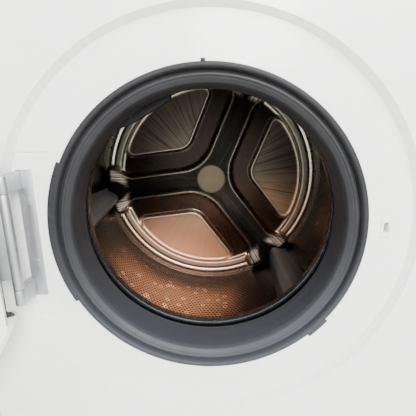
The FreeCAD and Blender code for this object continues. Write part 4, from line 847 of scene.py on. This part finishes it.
# %% Turn the seal
THROAT_R = 169.0
HEM_R = 190.0
NECK_R = 188.0
seal_outline = [
    (194, 0.8, 0.5), (192.8, 0.2, 0.5), (189.4, 0.2, 0.8), (187.8, 2.4, 0.8), (187, 5, 0.6), (186.2, 9, 1),
    (184.8, 9, 1), (183.8, 5.2, 1), (181.8, 3.6, 1), (179.6, 3.8, 0.9), (178.6, 5.4, 0.5), (177.8, 5.3, 0.5),
    (176.6, 6.0, 0.8), (THROAT_R + 3.5, 9, 1.2), (THROAT_R + 1.5, 14, 2), (THROAT_R + 0.9, 26, 2),
    (THROAT_R + 0.9, 40, 2), (THROAT_R, 54, 0.8), (THROAT_R + 2.5, 54, 0.8), (THROAT_R + 4.4, 18, 2),
    (THROAT_R + 7.5, 13.5, 2), (HEM_R - 8.5, 12, 2), (HEM_R - 8.5, 34, 2), (NECK_R + 9.5, 38, 2),
    (NECK_R + 9.5, 42, 2), (NECK_R + 0.4, 46, 1), (NECK_R + 0.4, 65.6, 0.5), (NECK_R + 3.3, 65.6, 0.8),
    (NECK_R + 3.3, 49, 1), (NECK_R + 12.6, 45, 2), (NECK_R + 12.6, 35, 2), (HEM_R - 5, 31, 1.5),
    (HEM_R - 5, 24, 1), (HEM_R + 4.6, 22, 1), (HEM_R + 4.6, 8.4, 1), (HEM_R + 0.9, 8.4, 0.5),
    (HEM_R + 0.9, 14.2), (HEM_R - 0.1, 14.2), (HEM_R - 0.1, 3), (194, 2.9, 0.4)]
seal_outline = [(p[0], p[1] + LIP_Y / MM, *p[2:]) for p in seal_outline]
seal_mesh = turned(seal_outline, steps=200, soft_steps=3)
seal = hand_in(seal_mesh, "bellows_seal", FINISHES["seal_rubber"], None, ["door_seal"], 40)
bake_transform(seal)

# %% [markdown]
# ## Marks on the lip
#
# The mould leaves a few marks on the seal's lip: a pointer at the top, short ticks, and two thicker
# stretches. They are small rounded blocks. Blocks set side by side follow the lip's curve, and read as
# one thick stretch.


# %% Add the marks on the lip
TICK_ANGLES = (138.8, 44.0, 38.0)


def lip_block(angle, radius, wide, tall, deep, soft=0.5):
    """A small rounded block on the lip, centred at an angle in degrees and a radius."""
    bm = bmesh.new()
    bmesh.ops.create_cube(bm, size=1)
    bmesh.ops.scale(bm, vec=(tall * MM, deep * MM, wide * MM), verts=bm.verts)
    bmesh.ops.bevel(bm, geom=bm.edges[:], offset=soft * MM, segments=2, affect="EDGES", profile=0.5,
                    material=-1)
    bmesh.ops.translate(bm, vec=(radius * MM, LIP_Y + deep / 2 * MM, 0), verts=bm.verts)
    turn = Matrix.Rotation(-math.radians(angle), 3, "Y")
    bmesh.ops.rotate(bm, cent=(0, 0, 0), matrix=turn, verts=bm.verts)
    bmesh.ops.translate(bm, vec=AXIS, verts=bm.verts)
    return bm


def together(parts):
    """Several meshes as one."""
    whole = bmesh.new()
    for part in parts:
        mesh = bpy.data.meshes.new("part")
        part.to_mesh(mesh)
        part.free()
        whole.from_mesh(mesh)
        bpy.data.meshes.remove(mesh)
    return whole


marks = [lip_block(tick, 192, 2, 3.4, 2.2) for tick in TICK_ANGLES]
marks.append(lip_block(90.8, 195.2, 5, 4, 2.2, 0.9))
marks += [lip_block(-47.5 + k * 1.5, 194.6, 5.6, 5.4, 2.8, 0.6) for k in range(6)]
marks += [lip_block(154.6 + k * 1.4, 194.9, 5.2, 5.0, 2.8, 0.6) for k in range(39)]
hand_in(together(marks), "seal_lip_marks", FINISHES["seal_rubber"], "cabinet", (), 50)

# %% [markdown]
# ## Bead of the drum's mouth
#
# The steel at the mouth of the drum is rolled back on itself, so that washing never meets a cut edge.
# The roll catches the light as one thin bright line. It is a small round outline turned about the axis.

# %% Turn the bead
BEAD_R = 2.2
BEAD_CLEAR = 0.3
mouth_r = min(math.hypot(v.co.x, v.co.z - AXIS_Z) for v in frame["nodes"]["drum_front"].data.vertices) / MM
bead_y = MOUTH_Y / MM + BEAD_R + BEAD_CLEAR
bead_in = mouth_r + BEAD_CLEAR
corners = [(bead_in, bead_y - BEAD_R), (bead_in + 2 * BEAD_R, bead_y - BEAD_R),
           (bead_in + 2 * BEAD_R, bead_y + BEAD_R), (bead_in, bead_y + BEAD_R)]
# Painted light: the bead is lighter and bluer at the foot of the drum.
BEAD_STEEL = smooth_steel("bead_steel", ((0.62, 0.6, 0.56), (0.78, 0.8, 0.82)), 0.1)
hand_in(turned([(r, y, BEAD_R * 0.98) for r, y in corners], steps=180, soft_steps=5), "mouth_bead",
        BEAD_STEEL, "drum", (), 60)

# %% [markdown]
# ## Softened mouldings
#
# No real moulding or casting has a knife edge: a tool cannot cut one, and paint will not hold on it.
# The small radius is what shows an edge, because it catches a line of light. The engineering solids
# have sharp edges, so the ones that a hand or the eye meets are copied, merged and bevelled.

# %% Soften the edges of a solid
body_of = {node: body for body, nodes in frame["record"]["behaviour"]["bodies"].items() for node in nodes}
FLAT = math.radians(1.5)
SHARP = math.radians(38)


def softened(node, width):
    """A copy of a solid with its sharp edges rounded by a width in millimetres."""
    bm = bmesh.new()
    bm.from_mesh(frame["nodes"][node].data)
    bmesh.ops.remove_doubles(bm, verts=bm.verts, dist=0.004 * MM)
    bmesh.ops.dissolve_limit(bm, angle_limit=FLAT, verts=bm.verts, edges=bm.edges)
    sharp = [edge for edge in bm.edges if len(edge.link_faces) == 2 and edge.calc_face_angle(0) > SHARP]
    bmesh.ops.bevel(bm, geom=sharp, offset=width * MM, segments=2, affect="EDGES", profile=0.5, material=-1,
                    clamp_overlap=True)
    bmesh.ops.dissolve_degenerate(bm, dist=0.002 * MM, edges=bm.edges)
    return bm


NOZZLE_BLACK = rubber("nozzle_black", (0.006, 0.006, 0.007), (0.012, 0.012, 0.013), 0.6)
SOFT_EDGES = {"program_knob": 1.2, "start_button": 0.6, "option_button": 0.6, "detergent_drawer": 0.8,
              "worktop": 2.5, "display_window": 0.4, "hinge_bracket": 0.7, "hinge_arm": 1.5, "door_hook": 0.5,
              "door_lock": 0.5, "kick_plate": 0.8, "filter_flap": 0.5, "foot_1": 0.8, "foot_2": 0.8,
              "foot_3": 0.8, "foot_4": 0.8, "spray_nozzle": 1.5}
FLAT_FACED = ("detergent_drawer", "worktop", "display_window", "kick_plate", "filter_flap", "door_lock")
for node, width in SOFT_EDGES.items():
    finish = NOZZLE_BLACK if node == "spray_nozzle" else FINISHES[slot_of[node]]
    smooth_to = 12 if node in FLAT_FACED else 30
    hand_in(softened(node, width), "soft_" + node, finish, body_of[node], [node], smooth_to)

# %% [markdown]
# ## Springs and hoses
#
# The tub hangs on two springs and is joined to the cabinet by two hoses. When the tub bounces, one end
# of each stays with the cabinet and the other goes with the tub. Riding on one body would push them
# into the tub's wall, so each is copied and merged, and rides on no body.

# %% Copy the springs and hoses
for node, tub_end_up in (("suspension_springs", False), ("fill_hose", False), ("sump_hose", True)):
    link = bmesh.new()
    link.from_mesh(frame["nodes"][node].data)
    bmesh.ops.remove_doubles(link, verts=link.verts, dist=0.004 * MM)
    piece = hand_in(link, "flexing_" + node, FINISHES[slot_of[node]], None, [node], 40)
    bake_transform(piece)

# %% [markdown]
# ## Marks round the programme knob
#
# A knob needs something to point at. Small raised dots stand round it on the fascia, one for each
# programme, with no words beside them.

# %% Set the programme dots
knob_low, knob_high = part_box("program_knob")
fascia_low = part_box("control_fascia")[0]
DOTS = 14
DOT_R = 1.1
DOT_CIRCLE = (knob_high.x - knob_low.x) / 2 / MM + 6.5
knob_x, knob_z = (knob_low.x + knob_high.x) / 2, (knob_low.z + knob_high.z) / 2
face = fascia_low.y / MM
dots = []
for number in range(DOTS):
    angle = math.tau * (number + 0.5) / DOTS
    centre = (knob_x + DOT_CIRCLE * MM * math.cos(angle), knob_z + DOT_CIRCLE * MM * math.sin(angle))
    dots.append(turned([(0, face - 0.3), (DOT_R, face - 0.3, 0.2), (DOT_R, face + 0.6), (0, face + 0.6)],
                       centre, steps=16, soft_steps=2))
hand_in(together(dots), "programme_dots", FINISHES["charcoal_plastic"], "cabinet", (), 50)

# %% [markdown]
# ## Grip of the knob
#
# Wet fingers slip on a smooth knob, so its side is ribbed. One small rounded bar is made for each rib
# and turned to its place, and all the ribs ride with the knob.

# %% Set the ribs round the knob
GRIP_RIBS = 36
RIB_SINK = 0.2 * MM
grip_r = (knob_high.x - knob_low.x) / 2
grip = []
for number in range(GRIP_RIBS):
    rib = bmesh.new()
    bmesh.ops.create_cube(rib, size=1)
    bmesh.ops.scale(rib, vec=(1.1 * MM, (fascia_low.y - knob_low.y) * 0.6, 1.2 * MM), verts=rib.verts)
    bmesh.ops.bevel(rib, geom=rib.edges[:], offset=0.4 * MM, segments=2, affect="EDGES", profile=0.5,
                    material=-1)
    bmesh.ops.translate(rib, vec=(grip_r - RIB_SINK, (fascia_low.y + knob_low.y) / 2, 0), verts=rib.verts)
    turn = Matrix.Rotation(math.tau * number / GRIP_RIBS, 3, "Y")
    bmesh.ops.rotate(rib, cent=(0, 0, 0), matrix=turn, verts=rib.verts)
    bmesh.ops.translate(rib, vec=(knob_x, 0, knob_z), verts=rib.verts)
    grip.append(rib)
hand_in(together(grip), "knob_grip", FINISHES["trim_chrome"], "knob", (), 40)

# %% [markdown]
# ## Floor
#
# The machine stands on a plain pale floor. The floor belongs to the stage and not to the machine.

# %% Lay the floor
floor_mesh = bmesh.new()
bmesh.ops.create_grid(floor_mesh, x_segments=1, y_segments=1, size=6)
floor_data = bpy.data.meshes.new("floor")
floor_mesh.to_mesh(floor_data)
floor_mesh.free()
floor_data.materials.append(moulding("floor_paint", (0.72, 0.72, 0.7), 0.55, grain=60, depth=0.1, tint=0.98))
floor = bpy.data.objects.new("floor", floor_data)
bpy.context.scene.collection.objects.link(floor)
print("floor laid")
